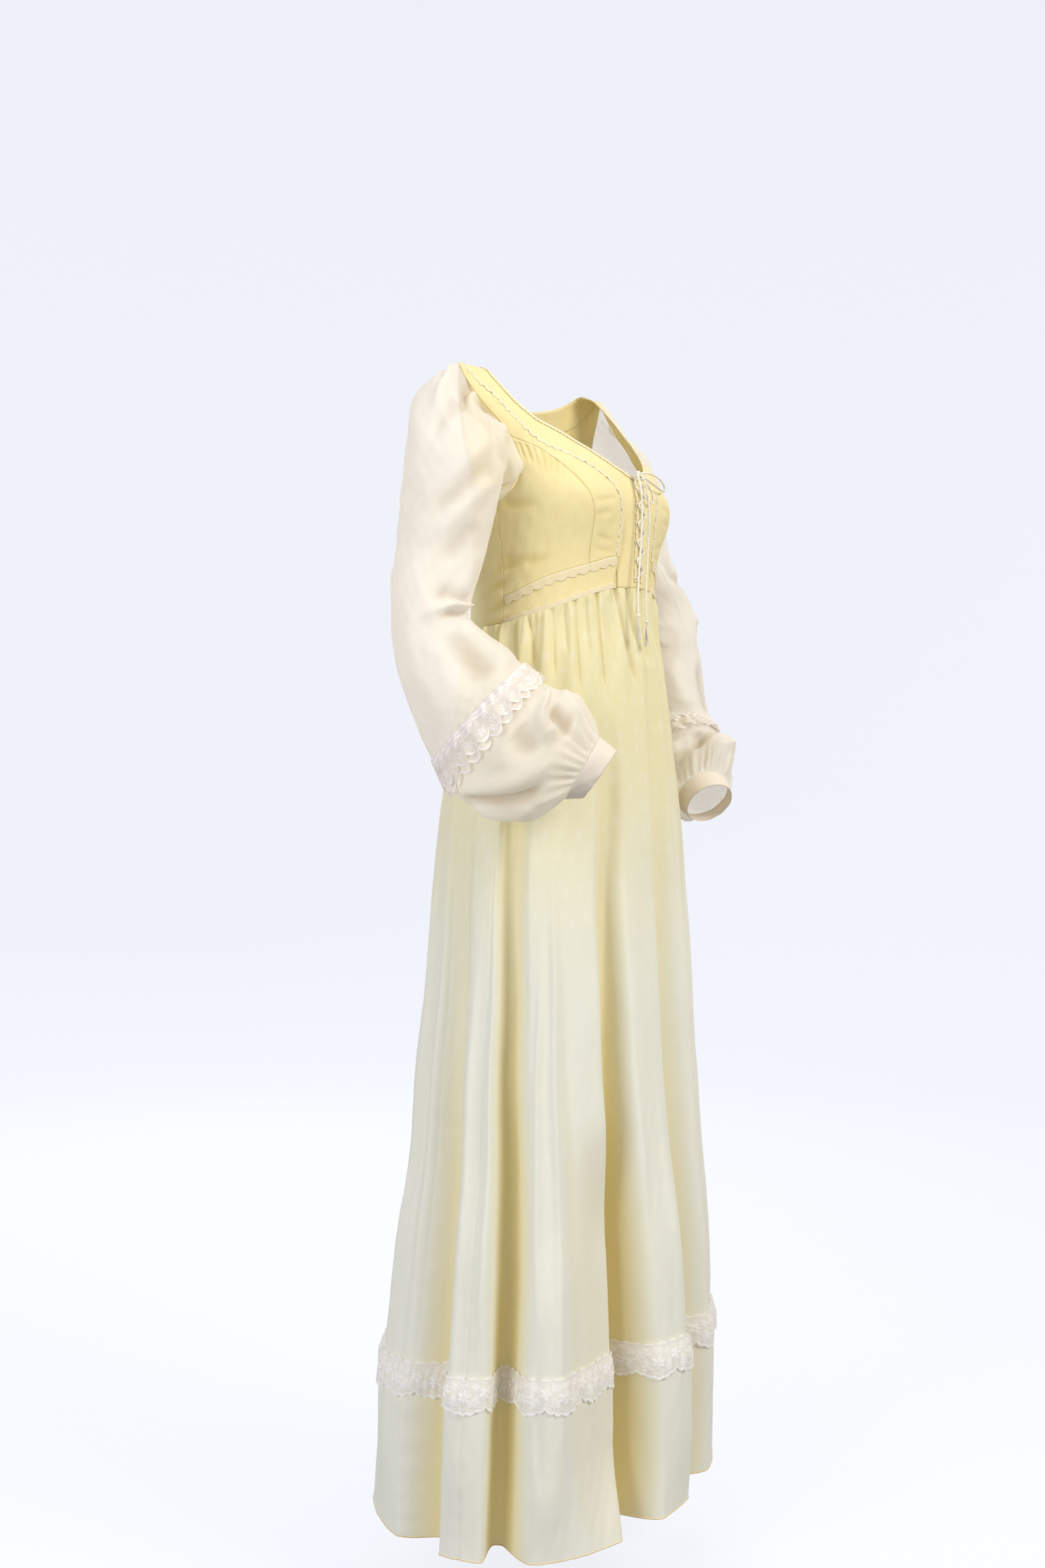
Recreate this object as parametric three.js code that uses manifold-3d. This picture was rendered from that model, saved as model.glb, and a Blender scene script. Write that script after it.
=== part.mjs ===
// Maxi dress with a laced front, a midriff band, gathered sheer sleeves, a full
// gathered skirt, a lace band and a bottom flounce, in its hollow worn form.
// Millimetres, +Z up, front towards -Y. The origin is midway between the shoulders.
import * as THREE from 'three';
import { mergeVertices, toCreasedNormals } from 'three/addons/utils/BufferGeometryUtils.js';
import Module from 'manifold-3d';

const wasm = await Module();
wasm.setup();

// Cloth and seams
const CLOTH = 1.2;
const TRIM = 1.0;
const TRIM_LIFT = 0.45;
const GAP = 0.3;
const HALF_GAP = GAP / 2;

// Main lengths, from the shoulder down
const HEM_LOWEST = -1388;
const MIDRIFF_SIDE = -279;

// Skirt
const SKIRT_COLUMNS = 96;
const GATHER_COUNT = 24;
const GATHER_DEPTH = 3.2;
const GATHER_FADE = 230;
const FLOUNCE_STEP = 5;
const LACE_ABOVE = 6;
const LACE_HEIGHT = 38;
const LACE_SCALLOP = 8;
const LACE_LIFT = 0.9;

// Sleeve
const SLEEVE_COLUMNS = 32;
const SLEEVE_GATHERS = 8;
const CUFF_START = 0.03;
const CAP_GATHER = 3.0;
const CAP_RISE = 15;
const CAP_DROP = 10;
const CAP_FULLNESS = 7;
const CUFF_GATHER = 3.0;
const SLEEVE_INSET = 0.9;
const HEADER_PUCKER = 1.2;
const FRILL_FLARE = 4.5;

// Cord
const CORD_DIAMETER = 2.6;
const CORD_SIDES = 8;
const LACING_ROWS = 11;
const LACING_TOP = -143;
const LACING_PITCH = 11;
const LACING_HALF = 8;
const TASSEL_LENGTH = 30;
const TASSEL_STRANDS = 6;
const TASSEL_SPREAD = 0.09;
const TASSEL_ROOT = 1.3;
const STRAND_TOP = 0.75;
const STRAND_TIP = 0.55;
const END_KNOT = 2.8;

// Narrow trims: their two edges from the line that they follow, and scallops
const NECK_EDGING = { from: -1.5, to: 3.5, scallop: 0 };
const BACK_EDGING = { from: -3.5, to: 1.5, scallop: 0 };
const BAND_TRIM = { from: -4, to: 4, scallop: 1.5 };
const MIDRIFF_TOP_TRIM = { from: 0, to: -10.5, scallop: -2.5 };
const MIDRIFF_BOTTOM_TRIM = { from: 0, to: 6, scallop: 1 };
const LACING_EDGING = { from: -2.5, to: 2.5, scallop: 0.8 };
const MIDRIFF_TRIM_STEPS = 16;
const MIDRIFF_TRIM_ANGLES = [18.5, 88.9];
const LACING_EDGING_STEPS = 12;
const LACING_EDGING_PITCH = 9.6;

// Bodice sections: half width, reach to the front and back of the middle, middle
const TORSO = [
  { z: 0, half: 158, front: 1, back: 1, mid: 46 },
  { z: -1.6, half: 159, front: 10, back: 9, mid: 46 },
  { z: -5, half: 160, front: 18, back: 16, mid: 45 },
  { z: -12, half: 160, front: 28, back: 24, mid: 44 },
  { z: -40, half: 161, front: 58, back: 42, mid: 38 },
  { z: -80, half: 158, front: 86, back: 66, mid: 24 },
  { z: -125, half: 151, front: 106, back: 84, mid: 8 },
  { z: -160, half: 144, front: 111, back: 95, mid: 3 },
  { z: -200, half: 138, front: 110, back: 100, mid: 2 },
  { z: -265, half: 130, front: 108, back: 104, mid: 2 },
  { z: -330, half: 130, front: 107, back: 106, mid: 2 },
];
const BUST = { angle: 42, spread: 24, z: -166, height: 40, depth: 17 };

// Front panels, one side: angles from the centre front and heights of the
// neckline or centre line, of the trim line and of the armhole or princess seam
const FRONT_ROWS = [
  { neckA: 46, neckZ: 0, trimA: 74, trimZ: 0, seamA: 90, seamZ: 0 },
  { neckA: 48.5, neckZ: -14, trimA: 67.7, trimZ: -18, seamA: 79, seamZ: -24 },
  { neckA: 46.8, neckZ: -40, trimA: 58.5, trimZ: -42, seamA: 73, seamZ: -48 },
  { neckA: 42.3, neckZ: -65, trimA: 54.5, trimZ: -72, seamA: 68, seamZ: -72 },
  { neckA: 34, neckZ: -79, trimA: 49, trimZ: -96, seamA: 65.5, seamZ: -92 },
  { neckA: 23, neckZ: -100, trimA: 37, trimZ: -111, seamA: 54.4, seamZ: -103 },
  { neckA: 13, neckZ: -119, trimA: 26.5, trimZ: -127, seamA: 47, seamZ: -121 },
  { neckA: 4, neckZ: -128.5, trimA: 20, trimZ: -143, seamA: 41.7, seamZ: -138 },
  { neckA: 0, neckZ: -133, trimA: 17, trimZ: -159, seamA: 37.9, seamZ: -159 },
  { neckA: 0, neckZ: -172, trimA: 16.2, trimZ: -182, seamA: 35.3, seamZ: -187 },
  { neckA: 0, neckZ: -203, trimA: 17, trimZ: -206, seamA: 35.5, seamZ: -212 },
  { neckA: 0, neckZ: -229, trimA: 17.5, trimZ: -229, seamA: 36, seamZ: -239 },
  { neckA: 0, neckZ: -264, trimA: 17, trimZ: -266, seamA: 36, seamZ: -276 },
];
const MIDRIFF_ROW = 11;
const CUP_COLUMNS = 4;
const SIDE_COLUMNS = 4;
const PRINCESS_ROW = 4;

// Outer edge of the side panel, beside the rows of the princess seam
const SIDE_ROWS = [
  { a: 66, z: -99 },
  { a: 67, z: -112 },
  { a: 70, z: -132 },
  { a: 77, z: -152 },
  { a: 90, z: -168 },
  { a: 90, z: -205 },
  { a: 90, z: -242 },
  { a: 90, z: MIDRIFF_SIDE },
];

// Back neckline: inner and outer edge of the band from the shoulder to the centre
const BACK_NECK = [
  { innerA: 134, innerZ: 0, outerA: 106, outerZ: 0 },
  { innerA: 139, innerZ: -9, outerA: 118, outerZ: -20 },
  { innerA: 150, innerZ: -20, outerA: 135, outerZ: -42 },
  { innerA: 165, innerZ: -28, outerA: 157, outerZ: -54 },
  { innerA: 180, innerZ: -31, outerA: 180, outerZ: -58 },
];

// Armhole, all round from the shoulder by the front: turn of the sleeve, place
const ARMHOLE = [
  { turn: -90, a: 90, z: 0 },
  { turn: -70, a: 79, z: -24 },
  { turn: -50, a: 73, z: -48 },
  { turn: -28, a: 68, z: -72 },
  { turn: -8, a: 65.5, z: -92 },
  { turn: 14, a: 67, z: -112 },
  { turn: 38, a: 70, z: -132 },
  { turn: 64, a: 77, z: -152 },
  { turn: 90, a: 90, z: -168 },
  { turn: 128, a: 108, z: -142 },
  { turn: 172, a: 116, z: -98 },
  { turn: 216, a: 111, z: -54 },
  { turn: 250, a: 100, z: -18 },
  { turn: 270, a: 90, z: 0 },
];

// Waist seam and midriff top by angle from the centre front
const WAIST = [
  { a: 0, z: -264 },
  { a: 17, z: -266 },
  { a: 36, z: -276 },
  { a: 50, z: -287 },
  { a: 67, z: -298 },
  { a: 90, z: -310 },
  { a: 120, z: -315 },
  { a: 180, z: -317 },
];
const MIDRIFF_TOP = [
  { a: 0, z: -229 },
  { a: 17.5, z: -229 },
  { a: 36, z: -239 },
  { a: 61, z: -255 },
  { a: 80, z: -271 },
  { a: 90, z: MIDRIFF_SIDE },
];

// Flounce seam and hem by angle, from the back over the right side to the back
const HEM = [
  { a: -180, seam: -1180, hem: -1384 },
  { a: -140, seam: -1178, hem: -1372 },
  { a: -100, seam: -1181, hem: -1381 },
  { a: -56, seam: -1182, hem: HEM_LOWEST },
  { a: -20, seam: -1172, hem: -1376 },
  { a: 0, seam: -1164, hem: -1363 },
  { a: 20, seam: -1162, hem: -1352 },
  { a: 50, seam: -1164, hem: -1346 },
  { a: 90, seam: -1168, hem: -1350 },
  { a: 135, seam: -1175, hem: -1368 },
  { a: 180, seam: -1180, hem: -1384 },
];

// Skirt rings without folds: half width, reach to the front and back, middle
const SKIRT = [
  { z: -255, half: 131, front: 108.5, back: 105, mid: 2 },
  { z: -307, half: 134, front: 109, back: 108, mid: 2 },
  { z: -350, half: 144, front: 113, back: 112, mid: 1 },
  { z: -434, half: 164, front: 121, back: 120, mid: 0 },
  { z: -560, half: 184, front: 134, back: 136, mid: 3 },
  { z: -648, half: 191, front: 139, back: 141, mid: 6 },
  { z: -745, half: 198, front: 144, back: 146, mid: 6 },
  { z: -843, half: 208, front: 150, back: 153, mid: 8 },
  { z: -940, half: 215, front: 157, back: 160, mid: 8 },
  { z: -1047, half: 226, front: 168, back: 172, mid: 10 },
  { z: -1135, half: 232, front: 176, back: 180, mid: 14 },
  { z: -1232, half: 237, front: 184, back: 188, mid: 19 },
  { z: -1310, half: 238, front: 187, back: 189, mid: 23 },
  { z: -1400, half: 240, front: 189, back: 191, mid: 27 },
];

// Valleys between the big folds: angle, half spread, depth at the hem, start
const VALLEYS = [
  { a: -155, spread: 9, depth: 42, top: -420 },
  { a: -98, spread: 8, depth: 36, top: -480 },
  { a: -65, spread: 6.5, depth: 56, top: -330 },
  { a: -27, spread: 8.5, depth: 78, top: -330 },
  { a: 8, spread: 7, depth: 46, top: -360 },
  { a: 62, spread: 9, depth: 58, top: -380 },
  { a: 95, spread: 7.5, depth: 50, top: -360 },
  { a: 128, spread: 8.5, depth: 46, top: -420 },
  { a: 165, spread: 9, depth: 48, top: -400 },
];

// Right sleeve rings: outer and inner point across the view, and the deep half
const RIGHT_RINGS = [
  { ox: -204, oy: 74, oz: -92, ix: -184, iy: -36, iz: -104, dx: 34, dy: -10, dz: -58 },
  { ox: -238, oy: 67, oz: -138, ix: -174, iy: -29, iz: -138, dx: 41, dy: 26, dz: -20 },
  { ox: -248, oy: 66, oz: -183, ix: -185, iy: -26, iz: -183, dx: 40, dy: 27, dz: -8 },
  { ox: -255, oy: 66, oz: -229, ix: -197, iy: -21, iz: -229, dx: 38, dy: 26, dz: 0 },
  { ox: -273, oy: 60, oz: -290, ix: -221, iy: -16, iz: -292, dx: 38, dy: 26, dz: 0 },
  { ox: -279, oy: 47, oz: -366, ix: -232, iy: -23, iz: -312, dx: 41, dy: 28, dz: 0 },
  { ox: -279, oy: 20, oz: -429, ix: -219, iy: -69, iz: -349, dx: 46, dy: 31, dz: 0 },
  { ox: -276, oy: -3, oz: -473, ix: -219, iy: -86, iz: -366, dx: 50, dy: 33, dz: 0 },
  { ox: -262, oy: -37, oz: -520, ix: -208, iy: -117, iz: -391, dx: 53, dy: 35, dz: 0 },
  { ox: -228, oy: -92, oz: -541, ix: -194, iy: -141, iz: -400, dx: 46, dy: 31, dz: 0 },
  { ox: -199, oy: -130, oz: -516, ix: -178, iy: -162, iz: -447, dx: 31, dy: 21, dz: 0 },
];
const RIGHT_CUFF = { ox: -186, oy: -146, oz: -515, ix: -165, iy: -177, iz: -462, dx: 26, dy: 18, dz: 0 };

// Left sleeve rings, written as on the right and mirrored when they are built
const LEFT_RINGS = [
  { ox: -200, oy: 90, oz: -90, ix: -176, iy: -14, iz: -104, dx: 30, dy: -10, dz: -57 },
  { ox: -222, oy: 70, oz: -138, ix: -168, iy: -20, iz: -138, dx: 40, dy: 26, dz: -20 },
  { ox: -228, oy: 66, oz: -185, ix: -172, iy: -20, iz: -185, dx: 38, dy: 26, dz: -8 },
  { ox: -240, oy: 54, oz: -230, ix: -188, iy: -34, iz: -230, dx: 36, dy: 24, dz: 0 },
  { ox: -262, oy: 42, oz: -288, ix: -210, iy: -46, iz: -282, dx: 36, dy: 24, dz: 0 },
  { ox: -264, oy: 37, oz: -352, ix: -206, iy: -57, iz: -336, dx: 36, dy: 24, dz: 0 },
  { ox: -262, oy: 33, oz: -420, ix: -198, iy: -69, iz: -388, dx: 38, dy: 26, dz: 0 },
  { ox: -262, oy: 27, oz: -470, ix: -196, iy: -77, iz: -412, dx: 38, dy: 26, dz: 0 },
  { ox: -254, oy: 6, oz: -522, ix: -190, iy: -96, iz: -432, dx: 38, dy: 26, dz: 0 },
  { ox: -226, oy: -45, oz: -552, ix: -176, iy: -119, iz: -446, dx: 36, dy: 24, dz: 0 },
  { ox: -193, oy: -78, oz: -542, ix: -166, iy: -117, iz: -486, dx: 28, dy: 20, dz: 0 },
];
const LEFT_CUFF = { ox: -184, oy: -93, oz: -550, ix: -157, iy: -132, iz: -503, dx: 24, dy: 17, dz: 0 };
const LACE_RING = 9;
const HEADER_END = 9.3;
const FRILL_END = 9.75;

// Free cords: points chosen along each route, from the bow's knot
const KNOT = [-6, -111, -127];
const KNOT_SIZE = [4.1, 3.45, 4.1];
const LACING_START = [0, 4.1, -3.1];
const BOW_UPPER = [
  [-1.5, -110.5, -126], [8, -111, -124], [20, -111.5, -123.5], [34, -111, -124.5],
  [48, -109.5, -127], [60, -107, -130.5], [67, -105, -134.5], [66, -105.5, -138.5],
  [58, -108.5, -140.5], [46, -111, -139.5], [34, -112.5, -137], [22, -113, -134],
  [11, -112.6, -131.4], [3, -111.8, -129.6], [-1.6, -111, -128.9],
];
const BOW_LOWER = [
  [-7.4, -111.4, -131.6], [-5.6, -112.6, -136.2], [-2.2, -113.8, -142], [2, -115, -148.6],
  [6.5, -116, -154.6], [11.5, -116.3, -159], [16.5, -116.3, -160.2], [19.8, -116.2, -157.5],
  [20, -116, -152], [17.4, -115.4, -146], [13.6, -114.8, -141], [9, -114, -137],
  [4.4, -113.2, -134.4], [0, -112.2, -132.7], [-4.2, -111.4, -131.6],
];
const END_RIGHT = [
  [-10.3, -112.7, -128.2], [-11.4, -114.6, -133], [-12.2, -117, -141], [-12.8, -119, -152],
  [-13.2, -120.2, -165], [-13.6, -120.5, -181], [-14, -120.2, -198], [-14.8, -119.6, -215],
  [-16, -119, -232], [-17.5, -118.8, -247], [-19, -118.8, -261], [-20.4, -119.2, -274],
  [-21.4, -120, -285], [-22, -120.6, -291.5], [-22.2, -121, -295.4],
];
const END_LEFT = [
  [-4.8, -114.6, -129], [-3.6, -117, -134], [-2.4, -119.4, -141], [-1.2, -121, -150],
  [-0.2, -121.8, -161], [0.6, -122, -175], [1, -121.8, -190], [1, -121, -205],
  [0.6, -120.4, -220], [-0.2, -120, -235], [-1.2, -119.8, -250], [-2.4, -119.8, -264],
  [-3.6, -120.2, -278], [-4.4, -121, -290], [-5, -121.6, -298], [-5.2, -122, -302.4],
];

// Materials
const FINISH = {
  voile: { color: 0xf1e7ae, roughness: 0.85, metalness: 0 },
  sheer: { color: 0xf0eadc, roughness: 0.8, metalness: 0 },
  lace: { color: 0xf3ebe0, roughness: 0.8, metalness: 0 },
  cord: { color: 0xf4ead2, roughness: 0.7, metalness: 0 },
};
const materials = Object.fromEntries(
  Object.entries(FINISH).map(([name, finish]) => {
    const material = new THREE.MeshStandardMaterial(finish);
    material.name = name;
    return [name, material];
  }),
);
const dress = new THREE.Group();
dress.name = 'maxi_dress';

const radians = THREE.MathUtils.degToRad;
const clamp = THREE.MathUtils.clamp;
const smoothstep = THREE.MathUtils.smoothstep;

// Slope at a row that never overshoots: harmonic mean of the two steps
function steadySlope(before, after) {
  if (before * after <= 0) {
    return 0;
  }
  return (2 * before * after) / (before + after);
}

// All the named columns of a table at a row number with a fraction
function tableRow(table, place) {
  const last = table.length - 1;
  const index = clamp(Math.floor(place), 0, last - 1);
  const t = clamp(place, 0, last) - index;
  const row = {};
  for (const key of Object.keys(table[0])) {
    const value = (i) => table[i][key];
    const step = (i) => (i < 0 || i >= last ? null : value(i + 1) - value(i));
    const here = step(index);
    const slopeA = step(index - 1) === null ? here : steadySlope(step(index - 1), here);
    const slopeB = step(index + 1) === null ? here : steadySlope(here, step(index + 1));
    const t2 = t * t;
    const t3 = t2 * t;
    row[key] = (2 * t3 - 3 * t2 + 1) * value(index) + (t3 - 2 * t2 + t) * slopeA
      + (3 * t2 - 2 * t3) * value(index + 1) + (t3 - t2) * slopeB;
  }
  return row;
}

// The row of a table at which a steadily changing column has a value
function rowAt(table, key, wanted) {
  const rising = table[table.length - 1][key] > table[0][key];
  let low = 0;
  let high = table.length - 1;
  for (let i = 0; i < 30; i += 1) {
    const middle = (low + high) / 2;
    if ((tableRow(table, middle)[key] < wanted) === rising) {
      low = middle;
    } else {
      high = middle;
    }
  }
  return tableRow(table, (low + high) / 2);
}

const waistZ = (angle) => rowAt(WAIST, 'a', Math.abs(angle)).z;
const midriffTopZ = (angle) => rowAt(MIDRIFF_TOP, 'a', Math.abs(angle)).z;

// Bodice surface: an egg-shaped ring at each height, fuller at the bust
function torso(angle, z) {
  const ring = rowAt(TORSO, 'z', z);
  const turn = radians(angle);
  const across = (Math.abs(angle) - BUST.angle) / BUST.spread;
  const along = (z - BUST.z) / BUST.height;
  const cup = BUST.depth * Math.exp(-across * across - along * along);
  const reach = Math.cos(turn) > 0 ? ring.front + cup : ring.back;
  const half = ring.half + 0.5 * cup;
  return new THREE.Vector3(half * Math.sin(turn), ring.mid - reach * Math.cos(turn), z);
}

function torsoNormal(angle, z) {
  const low = Math.min(z, -0.4);
  const around = torso(angle + 0.5, low).sub(torso(angle - 0.5, low));
  const down = torso(angle, low - 0.4).sub(torso(angle, low + 0.4));
  const normal = around.cross(down).normalize().negate();
  if (z === 0) {
    normal.setY(0).normalize();
  }
  return normal;
}

// Skirt surface: the rings with the folds pressed in and gathers at the waist
function skirt(angle, z, out = 0) {
  const ring = rowAt(SKIRT, 'z', z);
  const turn = radians(angle);
  const reach = Math.cos(turn) > 0 ? ring.front : ring.back;
  const point = new THREE.Vector3(ring.half * Math.sin(turn), -reach * Math.cos(turn), 0);
  let depth = 0;
  for (const valley of VALLEYS) {
    const turned = ((angle - valley.a + 540) % 360) - 180;
    const place = turned / valley.spread;
    const growth = smoothstep(-z, -valley.top, -HEM_LOWEST) * 0.45
      + 0.55 * clamp((valley.top - z) / (valley.top - HEM_LOWEST), 0, 1);
    depth += valley.depth * growth * Math.exp(-place * place);
  }
  const drop = waistZ(angle) - z;
  const fade = 1 - smoothstep(drop, 20, GATHER_FADE);
  const gather = GATHER_DEPTH * fade * smoothstep(drop, -2, 14) * Math.cos(radians(angle * GATHER_COUNT));
  const length = point.length();
  point.multiplyScalar((length - depth + gather + out) / length);
  point.y += ring.mid;
  point.z = z;
  return point;
}

const upToHalfTurn = (angle) => ((angle + 540) % 360) - 180;
const flounceZ = (angle) => rowAt(HEM, 'a', upToHalfTurn(angle)).seam;
const hemZ = (angle) => rowAt(HEM, 'a', upToHalfTurn(angle)).hem;

// Unit normals at the points of a grid, away from the grid's middle
function gridNormals(grid, closed) {
  const rows = grid.length;
  const columns = grid[0].length;
  const normals = grid.map((row, i) => row.map((point, j) => {
    const left = closed ? (j + columns - 1) % columns : Math.max(j - 1, 0);
    const right = closed ? (j + 1) % columns : Math.min(j + 1, columns - 1);
    const across = grid[i][right].clone().sub(grid[i][left]);
    const down = grid[Math.min(i + 1, rows - 1)][j].clone().sub(grid[Math.max(i - 1, 0)][j]);
    return across.cross(down).normalize();
  }));
  const points = grid.flat();
  const middle = points.reduce((sum, point) => sum.add(point), new THREE.Vector3())
    .divideScalar(points.length);
  const outward = normals.flat().reduce(
    (sum, normal, k) => sum + normal.dot(points[k].clone().sub(middle)), 0);
  return outward > 0 ? normals : normals.map((row) => row.map((normal) => normal.negate()));
}

function movePoint(point, towards, distance) {
  const step = towards.clone().sub(point);
  return point.clone().add(step.setLength(distance));
}

// Pulls the edges of a grid in by half a seam gap
function insetGrid(grid, closed) {
  const rows = grid.length;
  const columns = grid[0].length;
  return grid.map((row, i) => row.map((point, j) => {
    let moved = point.clone();
    if (i === 0) {
      moved = movePoint(moved, grid[1][j], HALF_GAP);
    }
    if (i === rows - 1) {
      moved = movePoint(moved, grid[rows - 2][j], HALF_GAP);
    }
    if (!closed && j === 0) {
      moved.add(grid[i][1].clone().sub(point).setLength(HALF_GAP));
    }
    if (!closed && j === columns - 1) {
      moved.add(grid[i][columns - 2].clone().sub(point).setLength(HALF_GAP));
    }
    return moved;
  }));
}

function signedVolume(positions, index) {
  let sum = 0;
  const corner = (k) => new THREE.Vector3().fromArray(positions, index[k] * 3);
  for (let k = 0; k < index.length; k += 3) {
    sum += corner(k).dot(corner(k + 1).cross(corner(k + 2)));
  }
  return sum / 6;
}

// A closed wall between an outer and an inner grid of points
function wallGeometry(outer, inner, closed) {
  const rows = outer.length;
  const columns = outer[0].length;
  const positions = [];
  for (const grid of [outer, inner]) {
    for (const row of grid) {
      for (const point of row) {
        positions.push(point.x, point.y, point.z);
      }
    }
  }
  const place = (layer, i, j) => layer * rows * columns + i * columns + (j % columns);
  const index = [];
  const quad = (a, b, c, d) => index.push(a, b, c, a, c, d);
  const cells = closed ? columns : columns - 1;
  for (let i = 0; i < rows - 1; i += 1) {
    for (let j = 0; j < cells; j += 1) {
      quad(place(0, i, j), place(0, i + 1, j), place(0, i + 1, j + 1), place(0, i, j + 1));
      quad(place(1, i, j), place(1, i, j + 1), place(1, i + 1, j + 1), place(1, i + 1, j));
    }
  }
  for (let j = 0; j < cells; j += 1) {
    quad(place(0, 0, j), place(0, 0, j + 1), place(1, 0, j + 1), place(1, 0, j));
    quad(place(0, rows - 1, j), place(1, rows - 1, j), place(1, rows - 1, j + 1), place(0, rows - 1, j + 1));
  }
  if (!closed) {
    for (let i = 0; i < rows - 1; i += 1) {
      quad(place(0, i, 0), place(1, i, 0), place(1, i + 1, 0), place(0, i + 1, 0));
      quad(place(0, i, columns - 1), place(0, i + 1, columns - 1),
        place(1, i + 1, columns - 1), place(1, i, columns - 1));
    }
  }
  if (signedVolume(positions, index) < 0) {
    index.reverse();
  }
  const geometry = new THREE.BufferGeometry();
  geometry.setAttribute('position', new THREE.Float32BufferAttribute(positions, 3));
  geometry.setIndex(index);
  return geometry;
}

function addMesh(name, geometry, finish) {
  const shaded = toCreasedNormals(geometry, radians(50));
  const mesh = new THREE.Mesh(shaded, materials[finish]);
  mesh.name = name;
  dress.add(mesh);
}

// Cloth wall from a grid of outer points, with its thickness on the inner side
function addCloth(name, grid, finish, closed, normals = gridNormals(grid, closed)) {
  const outer = insetGrid(grid, closed);
  const inner = outer.map((row, i) => row.map(
    (point, j) => point.clone().addScaledVector(normals[i][j], -CLOTH)));
  addMesh(name, wallGeometry(outer, inner, closed), finish);
}

// Bodice panel from a grid of angles and heights on the bodice surface
function addPanel(name, places, finish, side = 1) {
  const turned = places.map((row) => row.map(({ a, z }) => ({ a: side * a, z })));
  const outer = insetGrid(turned.map((row) => row.map(({ a, z }) => torso(a, z))), false);
  const inner = outer.map((row, i) => row.map((point, j) => {
    const normal = torsoNormal(turned[i][j].a, turned[i][j].z);
    return point.clone().addScaledVector(normal, -CLOTH);
  }));
  addMesh(name, wallGeometry(outer, inner, false), finish);
}

const mix = (from, to, t) => ({
  a: from.a + (to.a - from.a) * t,
  z: from.z + (to.z - from.z) * t,
});

// Rows of places between two edges, which have the same number of places
function ruled(first, second, columns) {
  return first.map((start, i) => Array.from(
    { length: columns + 1 }, (_, j) => mix(start, second[i], j / columns)));
}

const column = (rows, angleKey, heightKey) => rows.map(
  (row) => ({ a: row[angleKey], z: row[heightKey] }));

// Place on an edge given as a list, at a share of its steps
function edgeAt(edge, share) {
  const at = share * (edge.length - 1);
  const index = Math.min(Math.floor(at), edge.length - 2);
  return mix(edge[index], edge[index + 1], at - index);
}

// Places of a four-sided panel from its four edges
function blended(top, bottom, left, right, rows, columns) {
  const grid = [];
  for (let i = 0; i <= rows; i += 1) {
    const v = i / rows;
    const line = [];
    for (let j = 0; j <= columns; j += 1) {
      const u = j / columns;
      const across = mix(edgeAt(left, v), edgeAt(right, v), u);
      const down = mix(edgeAt(top, u), edgeAt(bottom, u), v);
      const corners = mix(mix(top[0], top.at(-1), u), mix(bottom[0], bottom.at(-1), u), v);
      line.push({ a: across.a + down.a - corners.a, z: across.z + down.z - corners.z });
    }
    grid.push(line);
  }
  return grid;
}

// Bodice panels
function addFrontPanels(side, label) {
  const neck = column(FRONT_ROWS, 'neckA', 'neckZ');
  const trim = column(FRONT_ROWS, 'trimA', 'trimZ');
  const seam = column(FRONT_ROWS, 'seamA', 'seamZ').slice(0, MIDRIFF_ROW + 1);
  const princess = seam.slice(PRINCESS_ROW);
  const onMidriff = (rows) => [...rows.slice(0, -1), rows.at(-1).map(
    ({ a }) => ({ a, z: midriffTopZ(a) }))];
  addPanel(`front_band_${label}`, ruled(neck, trim, 2), 'voile', side);
  const cup = ruled(trim.slice(0, MIDRIFF_ROW + 1), seam, CUP_COLUMNS);
  addPanel(`cup_panel_${label}`, onMidriff(cup), 'voile', side);
  const sidePlaces = ruled(princess, SIDE_ROWS, SIDE_COLUMNS);
  addPanel(`side_panel_${label}`, onMidriff(sidePlaces), 'voile', side);
}

function addMidriff(side, label) {
  const front = FRONT_ROWS[MIDRIFF_ROW];
  const between = (from, to, count) => Array.from(
    { length: count }, (_, i) => from + ((to - from) * (i + 1)) / count);
  const angles = [...between(front.trimA, front.seamA, CUP_COLUMNS),
    ...between(front.seamA, SIDE_ROWS.at(-1).a, SIDE_COLUMNS)];
  const waist = FRONT_ROWS.at(-1);
  const top = [{ a: front.trimA, z: front.trimZ }, ...angles.map((a) => ({ a, z: midriffTopZ(a) }))];
  const bottom = [{ a: waist.trimA, z: waist.trimZ }, ...angles.map((a) => ({ a, z: waistZ(a) }))];
  addPanel(`midriff_${label}`, ruled(top, bottom, 2), 'voile', side);
}

function addBack() {
  const neck = column(BACK_NECK, 'innerA', 'innerZ');
  const band = column(BACK_NECK, 'outerA', 'outerZ');
  const across = (edge) => [...edge, ...edge.slice(0, -1).reverse().map(
    ({ a, z }) => ({ a: 360 - a, z }))];
  addPanel('back_neck_band', ruled(across(neck), across(band), 2), 'voile');

  const top = [...band.slice().reverse(), { a: 90, z: 0 }];
  const bottom = Array.from({ length: 10 }, (_, i) => 180 - 10 * i).map(
    (a) => ({ a, z: waistZ(a) }));
  const armhole = ARMHOLE.slice(8).reverse().map(({ a, z }) => ({ a, z }));
  const seam = [-203, -238, -274, waistZ(90)].map((z) => ({ a: 90, z }));
  const centre = [{ a: 180, z: -58 }, { a: 180, z: waistZ(180) }];
  const edge = [...armhole, ...seam];
  const half = blended(top, bottom, centre, edge, edge.length - 1, 2 * (top.length - 1));
  const whole = half.map((row) => [
    ...row.slice(1).reverse().map(({ a, z }) => ({ a: 360 - a, z })), ...row]);
  addPanel('back_bodice', whole, 'voile');
}

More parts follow.
